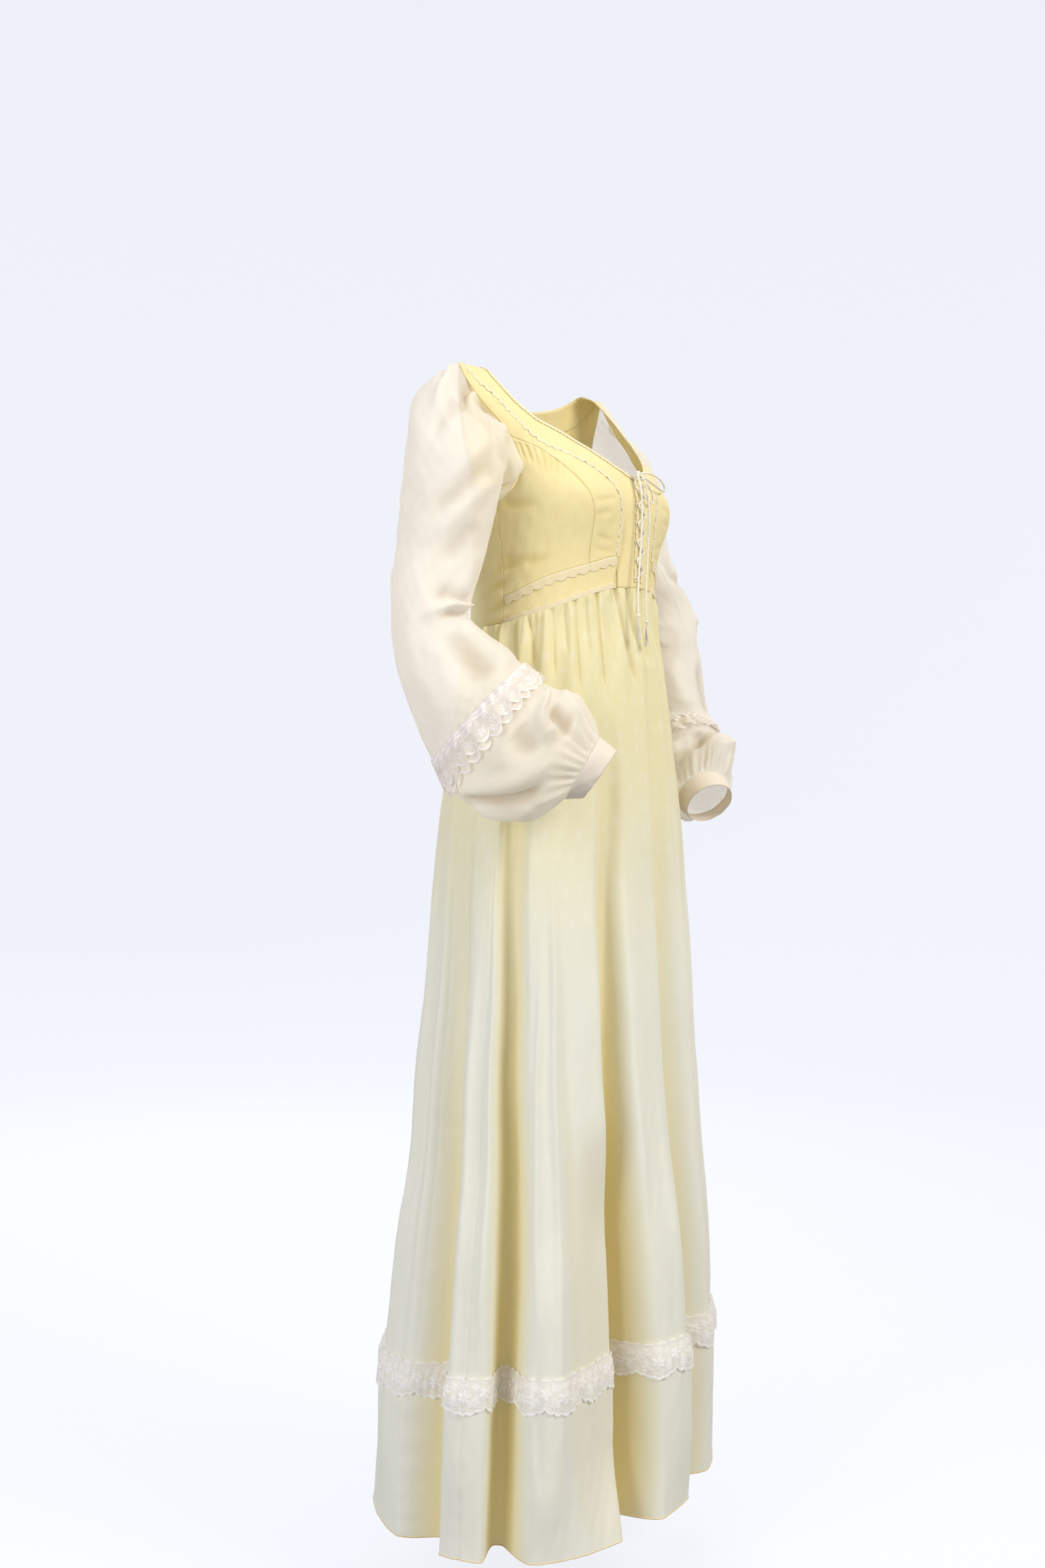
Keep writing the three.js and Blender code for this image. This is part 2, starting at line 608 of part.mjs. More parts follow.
// Rows of the skirt and flounce, as shares of the way down
const SKIRT_SHARES = [0, 0.03, 0.09, 0.2, 0.36, 0.56, 0.78, 1];
const FLOUNCE_SHARES = [0, 0.14, 0.55, 1];
const skirtAngles = Array.from({ length: SKIRT_COLUMNS }, (_, j) => (j * 360) / SKIRT_COLUMNS);

function skirtGrid() {
  return SKIRT_SHARES.map((share) => skirtAngles.map((angle) => {
    const top = waistZ(angle > 180 ? angle - 360 : angle);
    return skirt(angle, top + (flounceZ(angle) - top) * share);
  }));
}

function flounceGrid() {
  return FLOUNCE_SHARES.map((share) => skirtAngles.map((angle) => {
    const drop = (flounceZ(angle) - hemZ(angle)) * share;
    return skirt(angle, flounceZ(angle) - drop, FLOUNCE_STEP * smoothstep(drop, 0, 30));
  }));
}

// Panels cut from a ring of cloth: name, first and last column
function addPanelsOfRing(grid, cuts, finish) {
  const normals = gridNormals(grid, true);
  for (const [name, from, to] of cuts) {
    const pick = (row) => Array.from(
      { length: to - from + 1 }, (_, k) => row[(from + k + SKIRT_COLUMNS) % SKIRT_COLUMNS]);
    addCloth(name, grid.map(pick), finish, false, normals.map(pick));
  }
}

function addSkirt() {
  const seam = 21;
  const gore = 28;
  addPanelsOfRing(skirtGrid(), [
    ['skirt_front', -seam, seam],
    ['skirt_gore_left', seam, gore],
    ['skirt_back', gore, SKIRT_COLUMNS - gore],
    ['skirt_gore_right', -gore, -seam],
  ], 'voile');
  const side = SKIRT_COLUMNS / 4;
  addPanelsOfRing(flounceGrid(), [
    ['flounce_front', -side, side],
    ['flounce_back', side, SKIRT_COLUMNS - side],
  ], 'voile');
}

// Lace band over the flounce seam, scalloped along its lower edge
function addSkirtLace() {
  const base = [0, 1].map((share) => skirtAngles.map((angle, index) => {
    const scallop = index % 4 === 0 ? 0 : LACE_SCALLOP;
    const drop = share * (LACE_HEIGHT + scallop);
    return skirt(angle, flounceZ(angle) + LACE_ABOVE - drop, FLOUNCE_STEP);
  }));
  const normals = gridNormals(base, true);
  const layer = (lift) => base.map((row, i) => row.map(
    (point, j) => point.clone().addScaledVector(normals[i][j], lift)));
  addMesh('skirt_lace', wallGeometry(layer(LACE_LIFT + TRIM), layer(LACE_LIFT), true), 'lace');
}

// Ring of a sleeve at a turn, from its outer, inner and deep points
function ringPoint(row, turn) {
  const c = Math.cos(turn);
  const s = Math.sin(turn);
  return new THREE.Vector3(
    (row.ox + row.ix) / 2 + (c * (row.ix - row.ox)) / 2 + s * row.dx,
    (row.oy + row.iy) / 2 + (c * (row.iy - row.oy)) / 2 + s * row.dy,
    (row.oz + row.iz) / 2 + (c * (row.iz - row.oz)) / 2 + s * row.dz,
  );
}

const ARM_CENTRE = new THREE.Vector3(-152, 16, -86);

// Point on the armhole's edge, straight between its places
function armholePoint(turn) {
  const degrees = ((THREE.MathUtils.radToDeg(turn) + 450) % 360) - 90;
  const next = Math.max(ARMHOLE.findIndex((row) => row.turn > degrees), 1);
  const [from, to] = [ARMHOLE[next - 1], ARMHOLE[next]];
  const share = (degrees - from.turn) / (to.turn - from.turn);
  return torso(-from.a, from.z).lerp(torso(-to.a, to.z), share);
}

// Sleeve surface by ring number: 0 is the armhole, 1 the first rise of the cap
function sleevePoint(rings, ring, turn) {
  const seam = armholePoint(turn);
  const radial = seam.clone().sub(ARM_CENTRE).setX(0).normalize();
  const edge = seam.clone().addScaledVector(radial, -SLEEVE_INSET);
  const rise = edge.clone().addScaledVector(radial, CAP_FULLNESS);
  rise.x -= CAP_RISE;
  rise.z -= CAP_DROP * Math.max(0, -Math.sin(turn));
  const body = (at) => ringPoint(tableRow(rings, at - 2), turn);
  let point;
  if (ring < 1) {
    point = edge.lerp(rise, ring);
  } else if (ring < 2) {
    point = rise.lerp(body(2), ring - 1);
  } else {
    point = body(ring);
  }
  const last = rings.length + 1;
  const cap = CAP_GATHER * smoothstep(ring, 0, 0.8) * (1 - smoothstep(ring, 1.6, 3.6));
  const cuff = CUFF_GATHER * smoothstep(ring, last - 2, last - 0.4) * (1 - smoothstep(ring, last - 0.3, last));
  const wave = (cap + cuff) * Math.cos(turn * SLEEVE_GATHERS);
  const centre = body(Math.max(ring, 2));
  const opposite = ringPoint(tableRow(rings, Math.max(ring, 2) - 2), turn + Math.PI);
  const outward = centre.sub(opposite).normalize();
  return point.addScaledVector(outward, wave);
}

const turns = Array.from(
  { length: SLEEVE_COLUMNS }, (_, j) => (j * 2 * Math.PI) / SLEEVE_COLUMNS);

function mirrored(point, side) {
  return side > 0 ? point.setX(-point.x) : point;
}

function sleeveGrid(rings, stations, side) {
  return stations.map((station) => turns.map(
    (turn) => mirrored(sleevePoint(rings, station, turn), side)));
}

function addSleeve(rings, cuff, side, label) {
  const upper = [0, 0.5, 1, 2, 3, 4, 5, 6, 7, 8, LACE_RING];
  const lower = [LACE_RING, HEADER_END, FRILL_END, 10.4, 11, 11.6, 12];
  addCloth(`sleeve_${label}`, sleeveGrid(rings, upper, side), 'sheer', true);
  addCloth(`sleeve_puff_${label}`, sleeveGrid(rings, lower, side), 'sheer', true);
  const band = [CUFF_START, 1].map((share) => turns.map((turn) => mirrored(
    ringPoint(rings.at(-1), turn).lerp(ringPoint(cuff, turn), share), side)));
  addCloth(`cuff_${label}`, band, 'sheer', true);
}

// Lace on a sleeve: a puckered header over the seam and a flaring frill
function addSleeveLace(rings, side, label) {
  const grid = sleeveGrid(rings, [LACE_RING - 0.07, HEADER_END, FRILL_END], -1);
  const normals = gridNormals(grid, true);
  const layer = (lift) => grid.map((row, i) => row.map((point, j) => {
    const flare = i === 2 ? FRILL_FLARE * (0.5 + 0.5 * (j % 2)) : HEADER_PUCKER * (j % 2);
    return mirrored(point.clone().addScaledVector(normals[i][j], lift + flare), side);
  }));
  addMesh(`sleeve_lace_${label}`, wallGeometry(layer(LACE_LIFT + TRIM), layer(LACE_LIFT), true), 'lace');
}

// Narrow trim along a line of places on the bodice, scalloped on one edge
function addTrim(name, line, { from, to, scallop }, side) {
  const turned = line.map(({ a, z }) => ({ a: side * a, z }));
  const points = turned.map(({ a, z }) => torso(a, z));
  const normals = turned.map(({ a, z }) => torsoNormal(a, z));
  const layer = (lift) => points.map((point, i) => {
    const before = points[Math.max(i - 1, 0)];
    const after = points[Math.min(i + 1, points.length - 1)];
    const along = after.clone().sub(before).normalize();
    const across = along.cross(normals[i]).normalize().multiplyScalar(-side);
    const edge = to - (i % 2 === 0 ? scallop : 0);
    return [from, edge].map((width) => point.clone()
      .addScaledVector(across, width).addScaledVector(normals[i], lift));
  });
  addMesh(name, wallGeometry(layer(TRIM_LIFT + TRIM), layer(TRIM_LIFT), false), 'lace');
}

// Places along an edge, so many to each of its steps
function stepped(edge, each) {
  const count = (edge.length - 1) * each;
  return Array.from({ length: count + 1 }, (_, i) => edgeAt(edge, i / count));
}

// Angle of a place on the lacing, from its distance to the centre front
const lacingAngle = (x) => THREE.MathUtils.radToDeg(Math.asin(x / torso(90, LACING_TOP).x));

function addTrims(side, label) {
  const neck = [...column(FRONT_ROWS, 'neckA', 'neckZ').slice(0, 8), { a: 1.4, z: -131 }];
  const trim = column(FRONT_ROWS, 'trimA', 'trimZ').slice(0, MIDRIFF_ROW + 1);
  trim[MIDRIFF_ROW].z += 1.5;
  addTrim(`neck_edging_${label}`, stepped(neck, 2), NECK_EDGING, side);
  addTrim(`band_trim_${label}`, stepped(trim, 2), BAND_TRIM, side);
  const [first, last] = MIDRIFF_TRIM_ANGLES;
  const angles = Array.from(
    { length: MIDRIFF_TRIM_STEPS + 1 }, (_, i) => first + ((last - first) * i) / MIDRIFF_TRIM_STEPS);
  const top = angles.map((a) => ({ a, z: midriffTopZ(a) - 1 }));
  const bottom = angles.map((a) => ({ a, z: waistZ(a) + 1 }));
  addTrim(`midriff_top_trim_${label}`, top, MIDRIFF_TOP_TRIM, side);
  addTrim(`midriff_bottom_trim_${label}`, bottom, MIDRIFF_BOTTOM_TRIM, side);
  const row = Array.from({ length: LACING_EDGING_STEPS + 1 }, (_, i) => (
    { a: lacingAngle(LACING_HALF), z: LACING_TOP + 2 - i * LACING_EDGING_PITCH }));
  addTrim(`lacing_edging_${label}`, row, LACING_EDGING, side);
}

function addBackEdging() {
  const neck = column(BACK_NECK, 'innerA', 'innerZ');
  const whole = [...neck, ...neck.slice(0, -1).reverse().map(({ a, z }) => ({ a: 360 - a, z }))];
  addTrim('neck_edging_back', stepped(whole, 2), BACK_EDGING, 1);
}

// Cords
function cordGeometry(points, steps) {
  const section = new THREE.Shape();
  for (let i = 0; i < CORD_SIDES; i += 1) {
    const turn = (i * 2 * Math.PI) / CORD_SIDES;
    const x = (CORD_DIAMETER / 2) * Math.cos(turn);
    const y = (CORD_DIAMETER / 2) * Math.sin(turn);
    if (i === 0) {
      section.moveTo(x, y);
    } else {
      section.lineTo(x, y);
    }
  }
  section.closePath();
  const path = new THREE.CatmullRomCurve3(points.map((p) => new THREE.Vector3(...p)));
  return new THREE.ExtrudeGeometry(section, { steps, extrudePath: path, bevelEnabled: false });
}

function addLacing() {
  const lift = TRIM_LIFT + TRIM + GAP + CORD_DIAMETER / 2;
  const points = Array.from({ length: LACING_ROWS }, (_, i) => {
    const z = LACING_TOP - i * LACING_PITCH;
    const x = i % 2 === 0 ? -LACING_HALF : LACING_HALF;
    const angle = lacingAngle(x);
    return torso(angle, z).addScaledVector(torsoNormal(angle, z), lift).toArray();
  });
  const behindKnot = KNOT.map((value, axis) => value + LACING_START[axis]);
  addMesh('lacing_cord', cordGeometry([behindKnot, ...points], 33), 'cord');
}

function toManifold(geometry) {
  const bare = geometry.clone();
  bare.deleteAttribute('normal');
  bare.deleteAttribute('uv');
  const merged = mergeVertices(bare, 1e-4);
  return new wasm.Manifold(new wasm.Mesh({
    numProp: 3,
    vertProperties: new Float32Array(merged.attributes.position.array),
    triVerts: new Uint32Array(merged.index.array),
  }));
}

function fromManifold(solid) {
  const mesh = solid.getMesh();
  const geometry = new THREE.BufferGeometry();
  geometry.setAttribute('position', new THREE.BufferAttribute(mesh.vertProperties, 3));
  geometry.setIndex(new THREE.BufferAttribute(mesh.triVerts, 1));
  return geometry;
}

// End knot with the frayed strands of the cord below it, as one solid
function addTassel(name, end) {
  const top = new THREE.Vector3(...end).add(new THREE.Vector3(0, 0, -GAP - END_KNOT));
  const knot = new THREE.SphereGeometry(END_KNOT, 8, 6).rotateX(Math.PI / 2);
  knot.translate(top.x, top.y, top.z);
  let solid = toManifold(knot);
  for (let i = 0; i < TASSEL_STRANDS; i += 1) {
    const turn = (i * 2 * Math.PI) / TASSEL_STRANDS;
    const strand = new THREE.CylinderGeometry(STRAND_TOP, STRAND_TIP, TASSEL_LENGTH, 4);
    strand.rotateX(Math.PI / 2);
    strand.translate(0, 0, -TASSEL_LENGTH / 2);
    strand.rotateX(-TASSEL_SPREAD * Math.sin(turn));
    strand.rotateY(TASSEL_SPREAD * Math.cos(turn));
    strand.translate(
      top.x - TASSEL_ROOT * Math.cos(turn), top.y - TASSEL_ROOT * Math.sin(turn), top.z);
    solid = solid.add(toManifold(strand));
  }
  addMesh(name, fromManifold(solid), 'cord');
}

function addBow() {
  const knot = new THREE.SphereGeometry(1, 10, 8).scale(...KNOT_SIZE);
  knot.translate(...KNOT);
  addMesh('bow_knot', knot, 'cord');
  addMesh('bow_loop_upper', cordGeometry(BOW_UPPER, 22), 'cord');
  addMesh('bow_loop_lower', cordGeometry(BOW_LOWER, 16), 'cord');
  addMesh('cord_end_right', cordGeometry(END_RIGHT, 22), 'cord');
  addMesh('cord_end_left', cordGeometry(END_LEFT, 22), 'cord');
  addTassel('tassel_right', END_RIGHT.at(-1));
  addTassel('tassel_left', END_LEFT.at(-1));
}

for (const [side, label] of [[-1, 'right'], [1, 'left']]) {
  addFrontPanels(side, label);
  addMidriff(side, label);
  addTrims(side, label);
}
addBack();
addBackEdging();
addSkirt();
addSkirtLace();
addSleeve(RIGHT_RINGS, RIGHT_CUFF, -1, 'right');
addSleeve(LEFT_RINGS, LEFT_CUFF, 1, 'left');
addSleeveLace(RIGHT_RINGS, -1, 'right');
addSleeveLace(LEFT_RINGS, 1, 'left');
addLacing();
addBow();

export default dress;
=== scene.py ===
"""Looks of a maxi dress with a laced front, sheer sleeves and a lace-topped flounce.

The cloth is worked out in millimetres by the same tables as the part's solids, with
finer folds, and goes into Blender in metres. The front faces -Y and +Z is up.
"""

import logging
import math
from dataclasses import dataclass, field
from enum import Enum

import bpy
import numpy as np
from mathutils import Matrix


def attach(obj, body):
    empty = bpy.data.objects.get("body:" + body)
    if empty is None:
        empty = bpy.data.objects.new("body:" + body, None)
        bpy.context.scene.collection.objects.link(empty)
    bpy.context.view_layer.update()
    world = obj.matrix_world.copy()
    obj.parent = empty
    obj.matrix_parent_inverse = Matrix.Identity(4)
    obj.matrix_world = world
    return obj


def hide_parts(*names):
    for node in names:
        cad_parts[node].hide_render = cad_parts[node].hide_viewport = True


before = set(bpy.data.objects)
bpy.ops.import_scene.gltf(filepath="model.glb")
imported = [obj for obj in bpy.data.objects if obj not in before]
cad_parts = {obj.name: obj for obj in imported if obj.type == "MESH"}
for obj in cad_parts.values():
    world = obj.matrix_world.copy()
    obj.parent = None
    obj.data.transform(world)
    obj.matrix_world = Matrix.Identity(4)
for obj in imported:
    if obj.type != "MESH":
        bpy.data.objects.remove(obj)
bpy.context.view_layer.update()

LOG = logging.getLogger("maxi_dress")
MM = 0.001
HEM_LOWEST = -1388.0
FLOUNCE_STEP = 5.0
SKIRT_COLUMNS = 576
GORE_ANGLES = (78.75, 105.0)
LACE_RING = 9.0
HEADER_END = 9.3
LAST_RING = 12
CORD_DIAMETER = 2.6
BODICE_THICKNESS, CUFF_THICKNESS, BRAID_THICKNESS = 0.6, 1.0, 0.7


class Slot(Enum):
    """Material slots of the record."""

    VOILE = "voile"
    SHEER = "sheer"
    LACE = "lace"
    CORD = "cord"


class Side(Enum):
    """Sides of the wearer, with the sign of X."""

    RIGHT = -1
    LEFT = 1

    @property
    def label(self) -> str:
        """The side's name as the nodes' names end."""
        return self.name.lower()


# Tables


class Table:
    """Rows of named columns, read between the rows without overshoot."""

    def __init__(self, names: str, rows: list[tuple[float, ...]]) -> None:
        """Works out the slope at each row.

        The slope is the harmonic mean of the steps before and after the row, or
        nought where they point opposite ways.

        Args:
            names: The column names, with spaces between them.
            rows: The rows, each with a value for every column.
        """
        self.names = names.split()
        self.rows = np.array(rows, dtype=float)
        steps = np.diff(self.rows, axis=0)
        before, after = steps[:-1], steps[1:]
        agree = before * after > 0
        total = np.where(agree, before + after, 1.0)
        self.slopes = np.concatenate(
            [steps[:1], np.where(agree, 2 * before * after / total, 0.0), steps[-1:]]
        )

    def column(self, name: str, place: np.ndarray) -> np.ndarray:
        """Values of one column at row numbers with a fraction.

        Cubic Hermite curve through the value and slope of the rows on each side.

        Args:
            name: The column.
            place: Row numbers, nought at the first row.

        Returns:
            The values, in the shape of place.
        """
        key = self.names.index(name)
        last = len(self.rows) - 1
        place = np.clip(np.asarray(place, dtype=float), 0, last)
        index = np.minimum(place.astype(int), last - 1)
        t = place - index
        start, end = self.rows[index, key], self.rows[index + 1, key]
        slope_a, slope_b = self.slopes[index, key], self.slopes[index + 1, key]
        t2, t3 = t * t, t * t * t
        return (
            (2 * t3 - 3 * t2 + 1) * start
            + (t3 - 2 * t2 + t) * slope_a
            + (3 * t2 - 2 * t3) * end
            + (t3 - t2) * slope_b
        )

    def at(self, place: np.ndarray) -> dict[str, np.ndarray]:
        """All the columns at row numbers with a fraction."""
        return {name: self.column(name, place) for name in self.names}

    def where(self, name: str, wanted: np.ndarray) -> dict[str, np.ndarray]:
        """All the columns where a steadily changing column has a value.

        The row number is found by halving an interval 24 times.

        Args:
            name: The steadily changing column.
            wanted: The values that it should have.

        Returns:
            The columns, each in the shape of wanted.
        """
        wanted = np.asarray(wanted, dtype=float)
        key = self.names.index(name)
        rising = self.rows[-1, key] > self.rows[0, key]
        low = np.zeros(wanted.shape)
        high = np.full(wanted.shape, float(len(self.rows) - 1))
        for _ in range(24):
            middle = (low + high) / 2
            short = (self.column(name, middle) < wanted) == rising
            low = np.where(short, middle, low)
            high = np.where(short, high, middle)
        return self.at((low + high) / 2)


# Bodice sections: half width, reach to the front and back of the middle, middle
TORSO = Table("z half front back mid", [
    (0, 158, 1, 1, 46), (-1.6, 159, 10, 9, 46), (-5, 160, 18, 16, 45),
    (-12, 160, 28, 24, 44), (-40, 161, 58, 42, 38), (-80, 158, 86, 66, 24),
    (-125, 151, 106, 84, 8), (-160, 144, 111, 95, 3), (-200, 138, 110, 100, 2),
    (-265, 130, 108, 104, 2), (-330, 130, 107, 106, 2),
])
BUST_ANGLE, BUST_SPREAD, BUST_Z, BUST_HEIGHT, BUST_DEPTH = 42, 24, -166, 40, 17
# Radius that turns millimetres across the lacing into an angle
BUST_RADIUS = 148
SIDE_SEAM = 90

# Front panels: neckline or centre line, trim line, armhole or princess seam
FRONT = Table("neck_a neck_z trim_a trim_z seam_a seam_z", [
    (46, 0, 74, 0, 90, 0), (48.5, -14, 67.7, -18, 79, -24),
    (46.8, -40, 58.5, -42, 73, -48), (42.3, -65, 54.5, -72, 68, -72),
    (34, -79, 49, -96, 65.5, -92), (23, -100, 37, -111, 54.4, -103),
    (13, -119, 26.5, -127, 47, -121), (4, -128.5, 20, -143, 41.7, -138),
    (0, -133, 17, -159, 37.9, -159), (0, -172, 16.2, -182, 35.3, -187),
    (0, -203, 17, -206, 35.5, -212), (0, -229, 17.5, -229, 36, -239),
    (0, -264, 17, -266, 36, -276),
])
MIDRIFF_ROW, PRINCESS_ROW, WAIST_ROW = 11, 4, 12
SIDE_EDGE = Table("a z", [
    (66, -99), (67, -112), (70, -132), (77, -152), (90, -168), (90, -205),
    (90, -242), (90, -279),
])
BACK_NECK = Table("inner_a inner_z outer_a outer_z", [
    (134, 0, 106, 0), (139, -9, 118, -20), (150, -20, 135, -42),
    (165, -28, 157, -54), (180, -31, 180, -58),
])
ARMHOLE = Table("turn a z", [
    (-90, 90, 0), (-70, 79, -24), (-50, 73, -48), (-28, 68, -72),
    (-8, 65.5, -92), (14, 67, -112), (38, 70, -132), (64, 77, -152),
    (90, 90, -168), (128, 108, -142), (172, 116, -98), (216, 111, -54),
    (250, 100, -18), (270, 90, 0),
])
WAIST = Table("a z", [
    (0, -264), (17, -266), (36, -276), (50, -287), (67, -298), (90, -310),
    (120, -315), (180, -317),
])
MIDRIFF_TOP = Table("a z", [
    (0, -229), (17.5, -229), (36, -239), (61, -255), (80, -271), (90, -279),
])
HEM = Table("a seam hem", [
    (-180, -1180, -1384), (-140, -1178, -1372), (-100, -1181, -1381),
    (-56, -1182, -1388), (-20, -1172, -1376), (0, -1164, -1363),
    (20, -1162, -1352), (50, -1164, -1346), (90, -1168, -1350),
    (135, -1175, -1368), (180, -1180, -1384),
])
SKIRT = Table("z half front back mid", [
    (-255, 131, 108.5, 105, 2), (-307, 134, 109, 108, 2), (-350, 144, 113, 112, 1),
    (-434, 164, 121, 120, 0), (-560, 184, 134, 136, 3), (-648, 191, 139, 141, 6),
    (-745, 198, 144, 146, 6), (-843, 208, 150, 153, 8), (-940, 215, 157, 160, 8),
    (-1047, 226, 168, 172, 10), (-1135, 232, 176, 180, 14), (-1232, 237, 184, 188, 19),
    (-1310, 238, 187, 189, 23), (-1400, 240, 189, 191, 27),
])

# Valleys between the big folds: angle at the top and at the hem, half spread, depth
# at the hem, start, and how far the bottom leans under the fold beside it
VALLEYS = [
    (-155, -156, 9, 42, -420, -3), (-99, -96, 7, 40, -480, 5), (-70.5, -63, 5.6, 60, -330, -8),
    (-27, -17, 5.4, 76, -420, -4), (6, 13, 6, 48, -360, -3), (62, 60, 9, 58, -380, 4),
    (95, 97, 7.5, 50, -360, -3), (128, 126, 8.5, 46, -420, 4), (165, 166, 9, 48, -400, -3),
]
VALLEY_STEEPNESS = 3.6
VALLEY_START = 0.72
FOLD_STRENGTH = 1.4

# Sleeve rings: outer and inner point across the view, and the deep half
RING_COLUMNS = "ox oy oz ix iy iz dx dy dz"
RIGHT_RINGS = Table(RING_COLUMNS, [
    (-204, 74, -92, -184, -36, -104, 34, -10, -58),
    (-238, 67, -138, -174, -29, -138, 41, 26, -20),
    (-248, 66, -183, -185, -26, -183, 40, 27, -8),
    (-255, 66, -229, -197, -21, -229, 38, 26, 0),
    (-273, 60, -290, -221, -16, -292, 38, 26, 0),
    (-279, 47, -366, -232, -23, -312, 41, 28, 0),
    (-279, 20, -429, -219, -69, -349, 46, 31, 0),
    (-276, -3, -473, -219, -86, -366, 50, 33, 0),
    (-262, -37, -520, -208, -117, -391, 53, 35, 0),
    (-228, -92, -541, -194, -141, -400, 46, 31, 0),
    (-199, -130, -516, -178, -162, -447, 31, 21, 0),
])
LEFT_RINGS = Table(RING_COLUMNS, [
    (-200, 90, -90, -176, -14, -104, 30, -10, -57),
    (-222, 70, -138, -168, -20, -138, 40, 26, -20),
    (-228, 66, -185, -172, -20, -185, 38, 26, -8),
    (-240, 54, -230, -188, -34, -230, 36, 24, 0),
    (-262, 42, -288, -210, -46, -282, 36, 24, 0),
    (-264, 37, -352, -206, -57, -336, 36, 24, 0),
    (-262, 33, -420, -198, -69, -388, 38, 26, 0),
    (-262, 27, -470, -196, -77, -412, 38, 26, 0),
    (-254, 6, -522, -190, -96, -432, 38, 26, 0),
    (-226, -45, -552, -176, -119, -446, 36, 24, 0),
    (-193, -78, -542, -166, -117, -486, 28, 20, 0),
])
RIGHT_CUFF = dict(zip(RING_COLUMNS.split(), (-186, -146, -515, -165, -177, -462, 26, 18, 0)))
LEFT_CUFF = dict(zip(RING_COLUMNS.split(), (-184, -93, -550, -157, -132, -503, 24, 17, 0)))
ARM_CENTRE = np.array([-152.0, 16.0, -86.0])
# From the armhole to the sleeve's first ring: away from the arm, outwards, and down
CAP_RISE, CAP_OUT, CAP_DROP = 7, 15, 10


# Surfaces


def smooth(value: np.ndarray, low: float, high: float) -> np.ndarray:
    """Soft step from 0 at low to 1 at high: 3t squared less 2t cubed."""
    t = np.clip((np.asarray(value, dtype=float) - low) / (high - low), 0, 1)
    return t * t * (3 - 2 * t)


def unit(vectors: np.ndarray) -> np.ndarray:
    """Vectors of length one, along the last axis."""
    return vectors / np.maximum(np.linalg.norm(vectors, axis=-1, keepdims=True), 1e-9)


def half_turn(angle: np.ndarray) -> np.ndarray:
    """Angle in degrees, brought to between -180 and 180."""
    return (np.asarray(angle, dtype=float) + 540) % 360 - 180


def torso(angle: np.ndarray, z: np.ndarray) -> np.ndarray:
    """Bodice surface: an egg-shaped ring at each height, fuller at the bust.

    Args:
        angle: Degrees from the centre front, positive to the wearer's left.
        z: Height in millimetres.

    Returns:
        Points, with their coordinates on the last axis.
    """
    angle, z = np.broadcast_arrays(np.asarray(angle, float), np.asarray(z, float))
    ring = TORSO.where("z", z)
    turn = np.radians(angle)
    across = (np.abs(half_turn(angle)) - BUST_ANGLE) / BUST_SPREAD
    along = (z - BUST_Z) / BUST_HEIGHT
    cup = BUST_DEPTH * np.exp(-across * across - along * along)
    reach = np.where(np.cos(turn) > 0, ring["front"] + cup, ring["back"])
    half = ring["half"] + 0.5 * cup
    return np.stack([half * np.sin(turn), ring["mid"] - reach * np.cos(turn), z], -1)


def torso_normal(angle: np.ndarray, z: np.ndarray) -> np.ndarray:
    """Outward unit normals of the bodice surface, from small steps each way."""
    angle, z = np.broadcast_arrays(np.asarray(angle, float), np.asarray(z, float))
    low = np.minimum(z, -0.4)
    around = torso(angle + 0.5, low) - torso(angle - 0.5, low)
    down = torso(angle, low - 0.4) - torso(angle, low + 0.4)
    normal = -unit(np.cross(around, down))
    normal[..., 1] = np.where(z == 0, 0, normal[..., 1])
    return unit(normal)


def waist_z(angle: np.ndarray) -> np.ndarray:
    """Height of the waist seam at an angle."""
    return WAIST.where("a", np.abs(half_turn(angle)))["z"]


def midriff_top_z(angle: np.ndarray) -> np.ndarray:
    """Height of the midriff band's top at an angle on the front."""
    return MIDRIFF_TOP.where("a", np.abs(angle))["z"]


def valley(angle: np.ndarray, z: np.ndarray) -> tuple[np.ndarray, np.ndarray]:
    """Depth of the valleys between the big folds, and the lean of their bottoms.

    Args:
        angle: Degrees from the centre front.
        z: Height in millimetres.

    Returns:
        The depth in millimetres and the lean in degrees.
    """
    depth, lean = np.zeros(z.shape), np.zeros(z.shape)
    low = smooth(-z, 450, 1330)
    for first, last, spread, deep, top, tilt in VALLEYS:
        across = np.abs(half_turn(angle - first - (last - first) * low)) / spread
        straight = np.clip((top - z) / (top - HEM_LOWEST), 0, 1)
        growth = 0.45 * smooth(-z, -top, -HEM_LOWEST) + 0.55 * straight
        share = growth**VALLEY_START * np.exp(-across**VALLEY_STEEPNESS)
        depth += deep * share
        lean += tilt * share
    return depth, lean


def skirt(angle: np.ndarray, z: np.ndarray, out: np.ndarray | float = 0.0) -> np.ndarray:
    """Skirt surface: rings with the big folds pressed in and gathers at the waist.

    Each valley takes a steep-sided bell curve of the angle off the ring, deeper lower
    down, and turns its bottom in proportion to its depth, so that the fold beside it
    hangs over it without the cloth crossing itself.

    Args:
        angle: Degrees from the centre front.
        z: Height in millimetres.
        out: Distance moved out from the middle.

    Returns:
        Points, with their coordinates on the last axis.
    """
    angle, z = np.broadcast_arrays(np.asarray(angle, float), np.asarray(z, float))
    ring = SKIRT.where("z", z)
    depth, lean = valley(angle, z)
    turn = np.radians(angle + lean)
    reach = np.where(np.cos(turn) > 0, ring["front"], ring["back"])
    x, y = ring["half"] * np.sin(turn), -reach * np.cos(turn)
    turn = np.radians(angle)
    drop = waist_z(angle) - z
    gather = 3.2 * (1 - smooth(drop, 20, 230)) * smooth(drop, -2, 14) * np.cos(turn * 24)
    length = np.hypot(x, y)
    scale = (length - depth + gather + out) / length
    return np.stack([x * scale, ring["mid"] + y * scale, z], -1)


